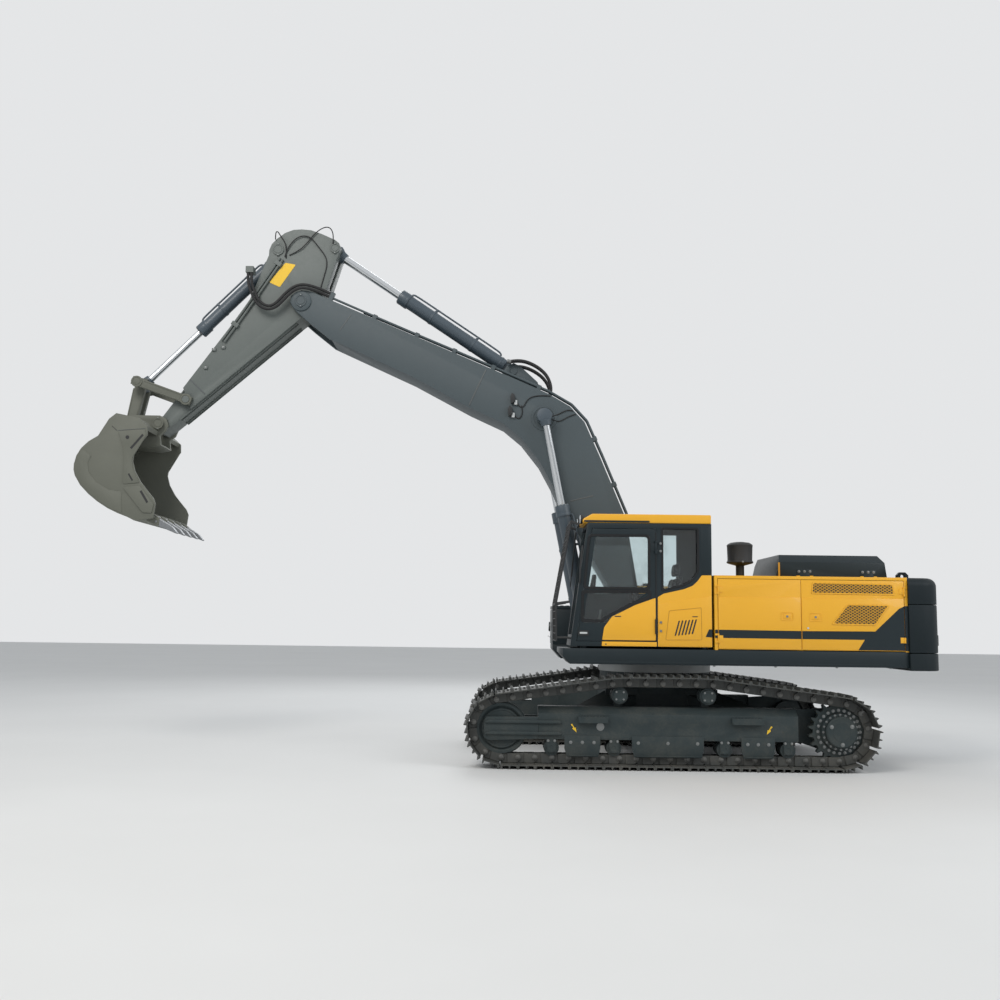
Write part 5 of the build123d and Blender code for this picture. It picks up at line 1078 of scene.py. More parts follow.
# ------------------------------------------------------------------------ cab
def build_cab():
    y = CAB_SIDE
    shell = painted(refined("cab_shell", 0.008, 3), "slate")
    finished(shell, "cab_frame", "upper", replaces=("cab_shell",))
    door = painted(refined("cab_door", 0.010, 3), "slate")
    finished(door, "cab_door_frame", "cab_door", replaces=("cab_door",))
    skin = CAB_SKIN
    # yellow lower panels: one on the door, one on the fixed side behind it
    on_door = [(0.183, 1.625), (0.183, 2.176), (0.444, 2.082), (0.753, 1.925), (0.853, 1.788), (0.878, 1.625)]
    fixed = [(0.155, 1.548), (0.155, 2.186), (0.079, 2.232), (-0.195, 2.296), (-0.300, 2.340),
             (-0.365, 2.400),
             (-0.420, 2.476), (-0.547, 2.478), (-0.547, 1.548)]
    low = [(0.170, 1.548), (0.170, 1.606), (0.880, 1.606), (0.884, 1.548)]
    door_parts = [painted(plate(rounded(on_door, 0.015), (skin - 0.006, skin + 0.009), "y", 0.004), "yellow")]
    fixed_parts = [painted(plate(rounded(fixed, 0.012), (skin - 0.006, skin + 0.009), "y", 0.004), "yellow"),
                   painted(plate(rounded(low, 0.008), (skin - 0.006, skin + 0.009), "y", 0.003), "yellow")]
    # the crease: a shallow raised field under it
    crease = [(0.140, 1.560), (0.140, 2.092), (-0.194, 2.160), (-0.535, 2.205), (-0.535, 1.560)]
    fixed_parts.append(painted(plate(crease, (skin + 0.006, skin + 0.013), "y", 0.005), "yellow"))
    # access panel with six slanted louvres and a slot, drawn as flat black strips: painted shade in the
    # openings
    access = [(0.012, 2.015), (-0.412, 2.061), (-0.417, 1.638), (0.059, 1.632)]
    fixed_parts.append(painted(frame_round(access, skin + 0.013, 0.007, 0.003, 0.001), "mesh_yellow"))
    for i in range(6):
        top, bottom = (-0.112 - 0.044 * i, 1.884 + 0.004 * i), (-0.058 - 0.044 * i, 1.688 + 0.005 * i)
        vent = [(top[0], top[1]), (top[0] - 0.020, top[1] + 0.002), (bottom[0] - 0.020, bottom[1] + 0.002),
                bottom]
        fixed_parts.append(painted(plate(rounded(vent, 0.008), (skin + 0.012, skin + 0.0145), "y", 0.0, 1),
                                   "black"))
    slot = [(-0.292, 1.934), (-0.362, 1.934), (-0.362, 1.945), (-0.292, 1.945)]
    fixed_parts.append(painted(plate(rounded(slot, 0.004), (skin + 0.012, skin + 0.015), "y", 0.0, 1),
                               "black"))
    for x, z in ((-0.498, 1.612), (0.830, 1.572)):
        fixed_parts.append(painted(lathe([(0, 0.010), (0.003, 0.009), (0.003, 0.002)], (x, skin + 0.008, z),
                                         "y", 18),
                                   "black"))
    # stripe that runs back from a slanted end
    stripe = [(-0.460, 1.679), (-0.507, 1.779), (-0.545, 1.777), (-0.545, 1.675)]
    fixed_parts.append(painted(plate(stripe, (skin + 0.011, skin + 0.0145), "y", 0.0, 1), "slate"))
    # door: lower window, latch slot, oval handle, glazing borders
    lower = [(1.150, 2.268), (0.238, 2.280), (0.238, 2.172), (0.455, 2.090), (0.765, 1.930), (0.865, 1.850),
             (1.155, 1.850)]
    door_parts.append(painted(frame_round(lower, skin, 0.042, 0.005, 0.002, 0.04), "gloss_black"))
    # the latch slot is a flat black strip: painted shade in the opening
    slot = [(0.635, 1.924), (0.717, 1.924), (0.717, 1.938), (0.635, 1.938)]
    door_parts.append(painted(plate(rounded(slot, 0.005), (skin + 0.008, skin + 0.0105), "y", 0.0, 1),
                              "black"))
    handle = [(1.052, 1.68), (1.190, 1.68), (1.190, 1.745), (1.052, 1.745)]
    door_parts.append(painted(frame_round(handle, skin, 0.012, 0.014), "black"))
    door_parts.append(painted(plate(rounded([(1.07, 1.700), (1.17, 1.700), (1.17, 1.726), (1.07, 1.726)],
                                            0.01),
                                    (skin, skin + 0.010), "y", 0.003), "pale"))
    upper = [(1.066, 3.002), (0.250, 3.002), (0.250, 2.280), (1.128, 2.280)]
    door_parts.append(painted(frame_round(upper, skin, 0.034, 0.005, 0.002, 0.06), "gloss_black"))
    quarter = [(0.108, 3.100), (-0.390, 3.100), (-0.390, 2.524), (-0.311, 2.405), (-0.185, 2.330),
               (0.108, 2.256)]
    fixed_parts.append(painted(frame_round(quarter, skin - 0.002, 0.030, 0.007, 0.002, 0.03), "gloss_black"))
    # pillar strip, hinge bolts and rubber seal along the door's edge
    fixed_parts.append(painted(block((-0.546, -0.412), (skin - 0.004, skin + 0.003), (2.50, 3.12), 0.003),
                               "slate"))
    for z in (1.750, 1.860, 2.785, 2.885):
        fixed_parts.append(painted(bolts([(0.118, y - 0.010, z)], (0, 1, 0), 0.011, 0.008), "steel"))
    door_parts.append(painted(tube([(0.176, skin + 0.002, 1.63), (0.176, skin + 0.002, 2.30),
                                    (0.176, skin + 0.002, 3.03)], 0.005, 2), "rubber"))
    # grab rail on the door's leading edge
    rail = [(1.172, skin, 2.36), (1.172, skin + 0.042, 2.36), (1.168, skin + 0.044, 2.60),
            (1.140, skin + 0.042, 2.84),
            (1.140, skin, 2.84)]
    door_parts.append(painted(tube(rail, 0.011), "black"))
    finished(joined(door_parts), "cab_door_panels", "cab_door")
    finished(joined(fixed_parts), "cab_side_panels", "upper")
    # roof: yellow cap, dark strip below it, antenna stub and lamps
    roof = [painted(refined("cab_roof", 0.016, 4), "yellow")]
    roof.append(painted(block((0.257, 1.118), (1.428, 1.446), (3.158, 3.184), 0.004), "slate"))
    finished(joined(roof), "cab_roof_cap", "upper", replaces=("cab_roof",))
    top = [painted(lathe([(3.266, 0.022), (3.276, 0.020), (3.281, 0.008)], (-0.42, 0.76, 0), "z", 24),
                   "black")]
    top.append(painted(block((0.80, 0.845), (1.410, 1.424), (3.088, 3.112), 0.003), "pale"))
    for yy in (0.78, 1.30):
        top.append(painted(lathe([(-0.010, 0.050), (0.012, 0.058), (0.016, 0.050)], (1.150, yy, 3.205), "x",
                                 28), "lens"))
        top.append(painted(lathe([(-0.045, 0.040), (-0.012, 0.060), (0.008, 0.062), (0.008, 0.056)],
                                 (1.146, yy, 3.205),
                                 "x", 28), "black"))
    finished(joined(top), "cab_lamps", "upper")
    # the wiper and its arm, inside the guard
    wiper = [painted(tube([(1.262, 0.98, 2.32), (1.252, 1.05, 2.60), (1.212, 1.16, 2.92)], 0.007, 2),
                     "black")]
    wiper.append(painted(tube([(1.250, 1.02, 2.46), (1.225, 1.10, 2.80), (1.205, 1.18, 3.04)], 0.010, 2),
                         "rubber"))
    finished(joined(wiper), "wiper", "upper")


def build_guard():
    """The screen guard: a frame of bars with a welded mesh, on brackets."""
    bottom, top = Vector((1.478, 0, 2.085)), Vector((1.285, 0, 3.165))
    left, right = 1.400, 0.665
    parts = []
    corner = [bottom + Vector((0, left, 0)), top + Vector((0, left, 0)), top + Vector((0, right, 0)),
              bottom + Vector((0, right, 0))]
    for a, b in zip(corner, corner[1:] + corner[:1]):
        parts.append(bar(a, b, 0.014, 16, 0.0))
    for point in corner:
        bpy.ops.object.select_all(action="DESELECT")
        bpy.ops.mesh.primitive_uv_sphere_add(segments=16, ring_count=8, radius=0.0145)
        knob = bpy.context.object
        knob.data.transform(Matrix.Translation(point))
        parts.append(soften(knob, 0.0))
    for i in range(1, 8):
        yy = right + (left - right) * i / 8
        parts.append(bar(bottom + Vector((0.004, yy, 0)), top + Vector((0.004, yy, 0)), 0.0050, 8, 0.0))
    for i in range(1, 14):
        middle = bottom.lerp(top, i / 14)
        parts.append(bar(middle + Vector((0.010, right, 0)), middle + Vector((0.010, left, 0)), 0.0050, 8,
                         0.0))
    for point, back in ((corner[0], 1.30), (corner[3], 1.30), (corner[1], 1.17), (corner[2], 1.17)):
        rear = Vector((back, point.y, point.z + (0.03 if point.z < 2.5 else -0.04)))
        parts.append(plate([(point.x, point.z - 0.02), (point.x, point.z + 0.02), (rear.x, rear.z + 0.016),
                            (rear.x, rear.z - 0.016)], (point.y - 0.005, point.y + 0.005), "y", 0.002))
    foot = Vector((1.470, 0, 1.605))
    for yy in (left, right, (left + right) / 2):
        parts.append(bar(bottom + Vector((0, yy, 0)), foot + Vector((0, yy, 0)), 0.012, 12, 0.0))
        parts.append(bar(foot + Vector((0, yy, 0.04)), (1.275, yy, 1.645), 0.010, 12, 0.0))
    for i in range(5):
        middle = bottom.lerp(foot, (i + 1) / 5)
        parts.append(bar(middle + Vector((0, right, 0)), middle + Vector((0, left, 0)), 0.008, 12, 0.0))
    piece = painted(joined(parts), "black")
    finished(piece, "screen_guard_mesh", "upper", replaces=("windscreen_guard",))


def cloth_pad(name, shape_points, span, crown, replaced=()):
    """A stuffed pad: a rounded slab, remeshed and blown up by cloth pressure, then smoothed."""
    pad = plate(rounded(shape_points, 0.03), span, "y", 0.018, 4)
    with_modifier(pad, "REMESH", mode="VOXEL", voxel_size=PAD_VOXEL)
    pad.modifiers.new("Smooth", "SMOOTH").iterations = 4
    only(pad)
    bpy.ops.object.modifier_apply(modifier="Smooth")
    start = [v.co.copy() for v in pad.data.vertices]
    only(pad)
    cloth = pad.modifiers.new("Cloth", "CLOTH")
    cloth.settings.use_pressure = True
    cloth.settings.uniform_pressure_force = PAD_PRESSURE
    cloth.settings.effector_weights.gravity = 0.0
    cloth.settings.quality = 4
    cloth.point_cache.frame_start = 1
    cloth.point_cache.frame_end = PAD_FRAMES
    for number in range(1, PAD_FRAMES + 1):
        bpy.context.scene.frame_set(number)
    bpy.ops.object.modifier_apply(modifier="Cloth")
    bpy.context.scene.frame_set(1)
    for vertex, rest in zip(pad.data.vertices, start):
        move = vertex.co - rest
        if move.length > crown:
            vertex.co = rest + move.normalized() * crown
    only(pad)
    bpy.ops.object.shade_smooth_by_angle(angle=PAD_SMOOTH)
    painted(pad, "cloth")
    finished(pad, name, "upper", replaces=replaced)


def build_seat():
    low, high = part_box("seat")
    middle = (low.y + high.y) / 2
    half = (high.y - low.y) / 2
    # side section of the pads as (X, Z), kept inside the seat's own solid
    cushion = [(low.x + 0.12, low.z + 0.030), (high.x - 0.030, low.z + 0.026),
               (high.x - 0.022, low.z + 0.095),
               (high.x - 0.070, low.z + 0.120), (low.x + 0.10, low.z + 0.112)]
    back = [(low.x + 0.095, low.z + 0.130), (low.x + 0.190, low.z + 0.145), (low.x + 0.110, high.z - 0.215),
            (low.x + 0.030, high.z - 0.215)]
    rest = [(low.x + 0.030, high.z - 0.190), (low.x + 0.105, high.z - 0.190), (low.x + 0.085, high.z - 0.020),
            (low.x + 0.022, high.z - 0.020)]
    cloth_pad("seat_cushion", cushion, (middle - half + 0.020, middle + half - 0.020), 0.014, ("seat",))
    cloth_pad("seat_back_pad", back, (middle - half + 0.030, middle + half - 0.030), 0.014)
    cloth_pad("seat_head_pad", rest, (middle - 0.13, middle + 0.13), 0.010)
    # shells behind and under the pads, the head pad's posts and the belt
    parts = [painted(plate([(low.x + 0.060, low.z + 0.004), (high.x - 0.040, low.z + 0.004),
                            (high.x - 0.016, low.z + 0.028),
                            (low.x + 0.060, low.z + 0.028)], (middle - half + 0.012, middle + half - 0.012),
                            "y", 0.006),
                     "interior")]
    parts.append(painted(plate([(low.x + 0.060, low.z + 0.100), (low.x + 0.092, low.z + 0.120),
                                (low.x + 0.026, high.z - 0.205), (low.x + 0.004, high.z - 0.205)],
                               (middle - half + 0.022, middle + half - 0.022), "y", 0.006), "interior"))
    for side in (-1, 1):
        yy = middle + side * 0.07
        parts.append(painted(bar((low.x + 0.040, yy, high.z - 0.23), (low.x + 0.040, yy, high.z - 0.16),
                                 0.008), "steel"))
    buckle = middle + half - 0.004
    parts.append(painted(tube([(low.x + 0.13, middle - half + 0.01, low.z + 0.13),
                               (low.x + 0.20, middle - 0.12, low.z + 0.150),
                               (low.x + 0.20, middle + 0.12, low.z + 0.150),
                               (low.x + 0.13, buckle - 0.01, low.z + 0.13)],
                              0.006, 2), "black"))
    finished(joined(parts), "seat_shells", "upper")
    # bellows under the seat, levers on the consoles, pedals and monitor
    base_low, base_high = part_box("seat_base")
    folds = []
    for i in range(5):
        z = base_low.z + 0.045 + 0.042 * i
        folds.append(block((base_low.x + 0.030 - 0.006 * (i % 2), base_high.x - 0.030 + 0.006 * (i % 2)),
                           (base_low.y + 0.030, base_high.y - 0.030), (z, z + 0.034), 0.010, 3))
    finished(painted(joined(folds), "rubber"), "seat_bellows", "upper", replaces=("seat_base",))
    con_low, con_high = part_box("cab_consoles")
    inside = []
    for yy in (con_low.y + 0.075, con_high.y - 0.075):
        foot = Vector((con_high.x - 0.075, yy, con_high.z - 0.075))
        inside.append(painted(lathe([(-0.070, 0.046), (-0.050, 0.044), (-0.030, 0.034), (-0.014, 0.026),
                                     (0.0, 0.018)],
                                    foot, "z", 28), "rubber"))
        inside.append(painted(tube([foot, foot + Vector((0.004, 0, 0.03)), foot + Vector((0.010, 0, 0.060))],
                                   0.008), "steel"))
        grip = lathe([(0.0, 0.014), (0.010, 0.020), (0.034, 0.019), (0.052, 0.022), (0.066, 0.018),
                      (0.072, 0.008)],
                     foot + Vector((0.010, 0, -0.002)), "z", 28)
        inside.append(painted(grip, "black"))
    finished(joined(inside), "control_levers", "upper")
    floor = []
    for yy in (0.96, 1.12):
        floor.append(painted(plate([(0.88, 1.66), (0.96, 1.78), (0.975, 1.775), (0.895, 1.65)],
                                   (yy - 0.045, yy + 0.045),
                                   "y", 0.004), "rubber"))
        floor.append(painted(tube([(0.86, yy, 2.02), (0.88, yy, 1.90), (0.90, yy, 1.76), (0.90, yy, 1.62)],
                                  0.009), "steel"))
    floor.append(painted(plate([(0.92, 2.26), (0.985, 2.30), (0.945, 2.50), (0.905, 2.49)], (0.70, 0.90), "y",
                               0.008, 3),
                         "black"))
    floor.append(painted(plate([(0.936, 2.29), (0.902, 2.47), (0.900, 2.47), (0.934, 2.29)], (0.715, 0.885),
                               "y", 0.0, 1),
                         "gloss_black"))
    finished(joined(floor), "pedals_and_monitor", "upper")


# ---------------------------------------------------------------- boom and arm
def disc_pair(pin, y, radius, rise=0.014, material="grey"):
    """A round pin cap with a groove and two bolted keepers, outside a boss at y."""
    x, z = pin
    cap = lathe([(-0.004, radius), (rise - 0.003, radius), (rise, radius - 0.003), (rise, radius * 0.84),
                 (rise - 0.006, radius * 0.80), (rise - 0.006, radius * 0.66), (rise, radius * 0.62),
                 (rise, radius * 0.10)], (x, y, z), "y", 44)
    parts = [painted(cap, material)]
    for side in (-1, 1):
        spot = z + side * radius * 0.98
        keeper = block((x - radius * 0.24, x + radius * 0.24), (y - 0.002, y + rise + 0.004),
                       (spot - 0.012, spot + 0.012), 0.003)
        parts.append(painted(keeper, material))
        parts.append(painted(bolts([(x, y + rise + 0.004, spot)], (0, 1, 0), 0.008, 0.006, washer=False),
                             "steel"))
    return parts


def strip(points, width, y, rise, material, bevel=0.002):
    """A flat strip of plate along points on a side face."""
    (x1, z1), (x2, z2) = points
    length = math.hypot(x2 - x1, z2 - z1)
    nx, nz = -(z2 - z1) / length * width / 2, (x2 - x1) / length * width / 2
    outline = [(x1 + nx, z1 + nz), (x1 - nx, z1 - nz), (x2 - nx, z2 - nz), (x2 + nx, z2 + nz)]
    return painted(plate(outline, (y - 0.001, y + rise), "y", bevel), material)


def both_sides(parts):
    return mirrored(joined(parts))


def beside(pin, y):
    """A pin's (X, Z) as a place at y."""
    return (pin[0], y, pin[1])


def build_boom():
    skin = painted(refined("boom", 0.008, 3), "grey")
    finished(skin, "boom_plates", "boom", replaces=("boom",))
    y = BOOM_SIDE
    parts = []
    parts.append(strip([(2.454, 5.452), (2.689, 4.927)], 0.020, y, 0.004, "weld", 0.001))
    parts.append(strip([(4.580, 6.008), (4.424, 6.244)], 0.016, y, 0.003, "weld", 0.001))
    parts.append(strip([(1.225, 3.560), (0.905, 3.640)], 0.016, y, 0.003, "weld", 0.001))
    ring = [(-0.002, 0.190), (0.010, 0.186), (0.012, 0.150), (0.006, 0.146), (0.006, 0.128)]
    parts.append(painted(lathe(ring, beside(BOOM_CYLINDER_HEAD, y), "y", 56), "grey"))
    boss = [(-0.004, 0.150), (0.018, 0.146), (0.022, 0.138), (0.022, 0.060)]
    parts.append(painted(lathe(boss, beside(ARM_PIN, y), "y", 56), "grey"))
    parts += disc_pair(ARM_PIN, 0.350, 0.086)
    finished(both_sides(parts), "boom_plate_details", "boom")
    foot = disc_pair(BOOM_FOOT, 0.400, 0.090, 0.014, "slate")
    finished(both_sides(foot), "boom_foot_caps", "upper")
    # work lamps on brackets, their connectors and the leads behind them
    lamp = []
    for x, z in ((2.045, 5.020), (2.080, 4.835)):
        lamp.append(painted(plate([(x + 0.030, z + 0.085), (x + 0.052, z + 0.030), (x + 0.040, z - 0.070),
                                   (x - 0.020, z - 0.040),
                                   (x - 0.010, z + 0.060)], (y, y + 0.060), "y", 0.004), "black"))
        lamp.append(painted(block((x - 0.050, x + 0.010), (y, y + 0.030), (z - 0.055, z - 0.010), 0.005),
                            "black"))
        lamp.append(painted(block((x - 0.048, x - 0.004), (y + 0.026, y + 0.040), (z - 0.085, z - 0.015),
                                  0.008, 3), "pale"))
    for line in ([(1.995, 4.965), (1.960, 4.900), (1.900, 4.915), (1.870, 4.990), (1.800, 5.060),
                  (1.640, 5.085), (1.520, 5.075)],
                 [(2.030, 4.780), (1.990, 4.730), (1.940, 4.760), (1.915, 4.850), (1.935, 4.930)],
                 [(1.500, 4.735), (1.420, 4.700), (1.350, 4.720), (1.240, 4.790), (1.155, 4.815)],
                 [(1.500, 4.780), (1.420, 4.800), (1.330, 4.850), (1.250, 4.880), (1.190, 4.860)]):
        lamp.append(painted(tube([(px, y + 0.010, pz) for px, pz in line], 0.007, 2), "rubber"))
    finished(joined(lamp), "boom_lamps", "boom")
    pipes = painted(refined("boom_pipes", 0.002, 1), "grey")
    finished(pipes, "boom_pipe_lines", "boom", replaces=("boom_pipes",))
    # hoses from the pipes to the arm cylinder, over the boom's back
    loops, ends = [], []
    for yy in (-0.150, -0.202, 0.150, 0.202):
        line = [(2.112, yy, 5.611), (1.966, yy, 5.641), (1.746, yy, 5.567), (1.570, yy, 5.426),
                (1.496, yy, 5.236),
                (1.510, yy, 5.160)]
        loops.append(tube(line, sizes().hose, 3))
        ends.append(bar((2.090, yy, 5.607), (2.150, yy, 5.618), 0.028, 6, 0.003))
        ends.append(bar((1.512, yy, 5.150), (1.522, yy, 5.098), 0.028, 6, 0.003))
    finished(painted(joined(loops), "rubber"), "arm_cylinder_feed_hoses", "boom")
    finished(painted(joined(ends), "steel"), "feed_hose_ends", "boom")


def build_arm():
    skin = painted(refined("arm", 0.008, 3), "arm_grey")
    finished(skin, "arm_plates", "arm", replaces=("arm",))
    y = ARM_SIDE
    parts = []
    parts.append(strip([(6.744, 5.280), (6.517, 5.061)], 0.018, y, 0.004, "weld", 0.001))
    under = [(5.230, 6.153), (6.880, 4.697)]
    for yy in (0.196, 0.120):
        (x1, z1), (x2, z2) = under
        parts.append(painted(plate([(x1, z1 + 0.006), (x1 - 0.014, z1 - 0.012), (x2 - 0.014, z2 - 0.012),
                                    (x2, z2 + 0.006)],
                                   (yy - 0.006, yy + 0.006), "y", 0.002), "arm_grey"))
    board = [(5.422, 7.036), (5.267, 7.010), (5.491, 6.667), (5.647, 6.738)]
    parts.append(painted(plate(rounded(board, 0.02), (y - 0.001, y + 0.004), "y", 0.001, 1), "plate_yellow"))
    for x, z in ((6.518, 5.449), (6.410, 5.718), (6.275, 5.753)):
        parts.append(painted(block((x - 0.030, x + 0.030), (y - 0.002, y + 0.022), (z - 0.022, z + 0.022),
                                   0.004), "arm_grey"))
        parts.append(painted(bolts([(x, y + 0.022, z)], (0, 1, 0), 0.011, 0.008), "steel"))
    finished(both_sides(parts), "arm_plate_details", "arm")
    caps = disc_pair(BUCKET_PIN, 0.316, 0.078, 0.014, "olive")
    caps += disc_pair(BUCKET_CYLINDER_FOOT, ARM_SIDE, 0.082, 0.018, "arm_grey")
    caps += disc_pair(ARM_CYLINDER_HEAD, ARM_SIDE, 0.070, 0.018, "arm_grey")
    finished(both_sides(caps), "arm_tip_caps", "arm")
    pipes = painted(refined("arm_pipes", 0.002, 1), "arm_grey")
    finished(pipes, "arm_pipe_lines", "arm", replaces=("arm_pipes",))
    # grease lines round the arm's head
    lines = (
        [(5.431, 7.126), (5.401, 7.239), (5.289, 7.397), (5.173, 7.449), (5.054, 7.422), (4.948, 7.289),
         (4.825, 7.134),
         (4.804, 7.000), (4.849, 6.821), (4.894, 6.643)],
        [(5.365, 7.149), (5.215, 7.218), (5.102, 7.343), (5.021, 7.456), (4.923, 7.547), (4.823, 7.588),
         (4.754, 7.549),
         (4.722, 7.440), (4.730, 7.330)],
        [(5.575, 7.382), (5.579, 7.494), (5.546, 7.506), (5.510, 7.450), (5.439, 7.350), (5.411, 7.261),
         (5.413, 7.104)],
    )
    grease = []
    for line in lines:
        places = [(x, 0.272 if z > 7.2 else 0.257, z) for x, z in line]
        grease.append(tube(places, sizes().thin_hose, 2))
    finished(painted(joined(grease), "rubber"), "arm_grease_lines", "arm")


def build_arm_hoses():
    """Two free hoses from the boom's pipes over the joint to the arm's pipes."""
    route = ((4.748, 0.292, 6.517), (4.846, 0.292, 6.566), (4.950, 0.3345, 6.594), (5.050, 0.377, 6.615),
             (5.150, 0.377, 6.625), (5.245, 0.377, 6.590), (5.330, 0.377, 6.520), (5.415, 0.377, 6.420),
             (5.505, 0.377, 6.330), (5.610, 0.377, 6.290), (5.720, 0.377, 6.325), (5.815, 0.377, 6.415),
             (5.880, 0.377, 6.560), (5.930, 0.377, 6.700), (5.930, 0.377, 6.840))
    for number, shift in enumerate((0.0, HOSE_GAP)):
        spline_line = route_points(stood_off(route, shift))
        hose = painted(swept(spline_line, sizes().hose, "arm_hose_%d" % (number + 1)), "rubber")
        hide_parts("arm_hoses")
        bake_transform(hose)


def stood_off(route, shift):
    """The route moved sideways in its own X-Z plane, corners kept."""
    if not shift:
        return [Vector(p) for p in route]
    result = []
    last = len(route) - 1
    for i, point in enumerate(route):
        ways = []
        for a, b in ((i - 1, i), (i, i + 1)):
            if a >= 0 and b <= last:
                run = Vector(route[b]) - Vector(route[a])
                run.y = 0
                ways.append(run.normalized())
        normals = [Vector((-w.z, 0, w.x)) for w in ways]
        if len(normals) == 2:
            total = normals[0] + normals[1]
            total = total / (1 + normals[0].dot(normals[1]))
        else:
            total = normals[0]
        result.append(Vector(point) + total * shift)
    return result


def route_points(points):
    """The points of a hose's middle line, with no bevel."""
    obj = spline_curve(points, 8)
    mesh = bpy.data.meshes.new_from_object(obj)
    line = [v.co.copy() for v in mesh.vertices]
    bpy.data.meshes.remove(mesh)
    bpy.data.objects.remove(obj)
    return line


def swept(line, radius, name, sides=16):
    """A closed round tube whose rings stand on each point of a line."""
    across = Vector((0, 1, 0))
    vertices, faces = [], []
    for i, point in enumerate(line):
        ahead = (line[min(i + 1, len(line) - 1)] - line[max(i - 1, 0)]).normalized()
        first = (across - ahead * across.dot(ahead)).normalized()
        second = ahead.cross(first)
        for k in range(sides):
            angle = 2 * math.pi * k / sides
            vertices.append(point + (first * math.cos(angle) + second * math.sin(angle)) * radius)
    for i in range(len(line) - 1):
        for k in range(sides):
            a, b = i * sides + k, i * sides + (k + 1) % sides
            faces.append((a, b, b + sides, a + sides))
    faces.append(tuple(range(sides))[::-1])
    faces.append(tuple((len(line) - 1) * sides + k for k in range(sides)))
    mesh = bpy.data.meshes.new(name)
    mesh.from_pydata(vertices, [], faces)
    obj = bpy.data.objects.new(name, mesh)
    bpy.context.collection.objects.link(obj)
    in_edit(obj, outward)
    return soften(obj, 0.0)


# ------------------------------------------------------------------ cylinders
# (name, barrel node and body, rod node and body, foot pin, head pin,
#  barrel radius, rod radius, gland, eye radius, half width at the foot, places across)
CYLINDERS = (
    ("boom_cylinder", ("boom_cylinder_barrels", "boom_barrels"), ("boom_cylinder_rods", "boom_rods"),
     BOOM_CYLINDER_FOOT, BOOM_CYLINDER_HEAD, 0.090, 0.052, 2.020, 0.105, 0.055, (0.485, -0.485)),
    ("arm_cylinder", ("arm_cylinder_barrel", "arm_barrel"), ("arm_cylinder_rod", "arm_rod"),
     ARM_CYLINDER_FOOT, ARM_CYLINDER_HEAD, 0.100, 0.057, 2.034, 0.115, 0.060, (0.0,)),
    ("bucket_cylinder", ("bucket_cylinder_barrel", "bucket_barrel"), ("bucket_cylinder_rod", "bucket_rod"),
     BUCKET_CYLINDER_FOOT, LINK_PIN, 0.088, 0.050, 1.652, 0.100, 0.055, (0.0,)),
)


def laid_on(obj, foot, head, y=0.0):
    """Moves a thing modelled along X from a foot pin at the origin onto the line of two pins."""
    angle = math.atan2(head[1] - foot[1], head[0] - foot[0])
    turn = Matrix.Rotation(-angle, 4, "Y")
    obj.data.transform(Matrix.Translation((foot[0], y, foot[1])) @ turn)
    return obj


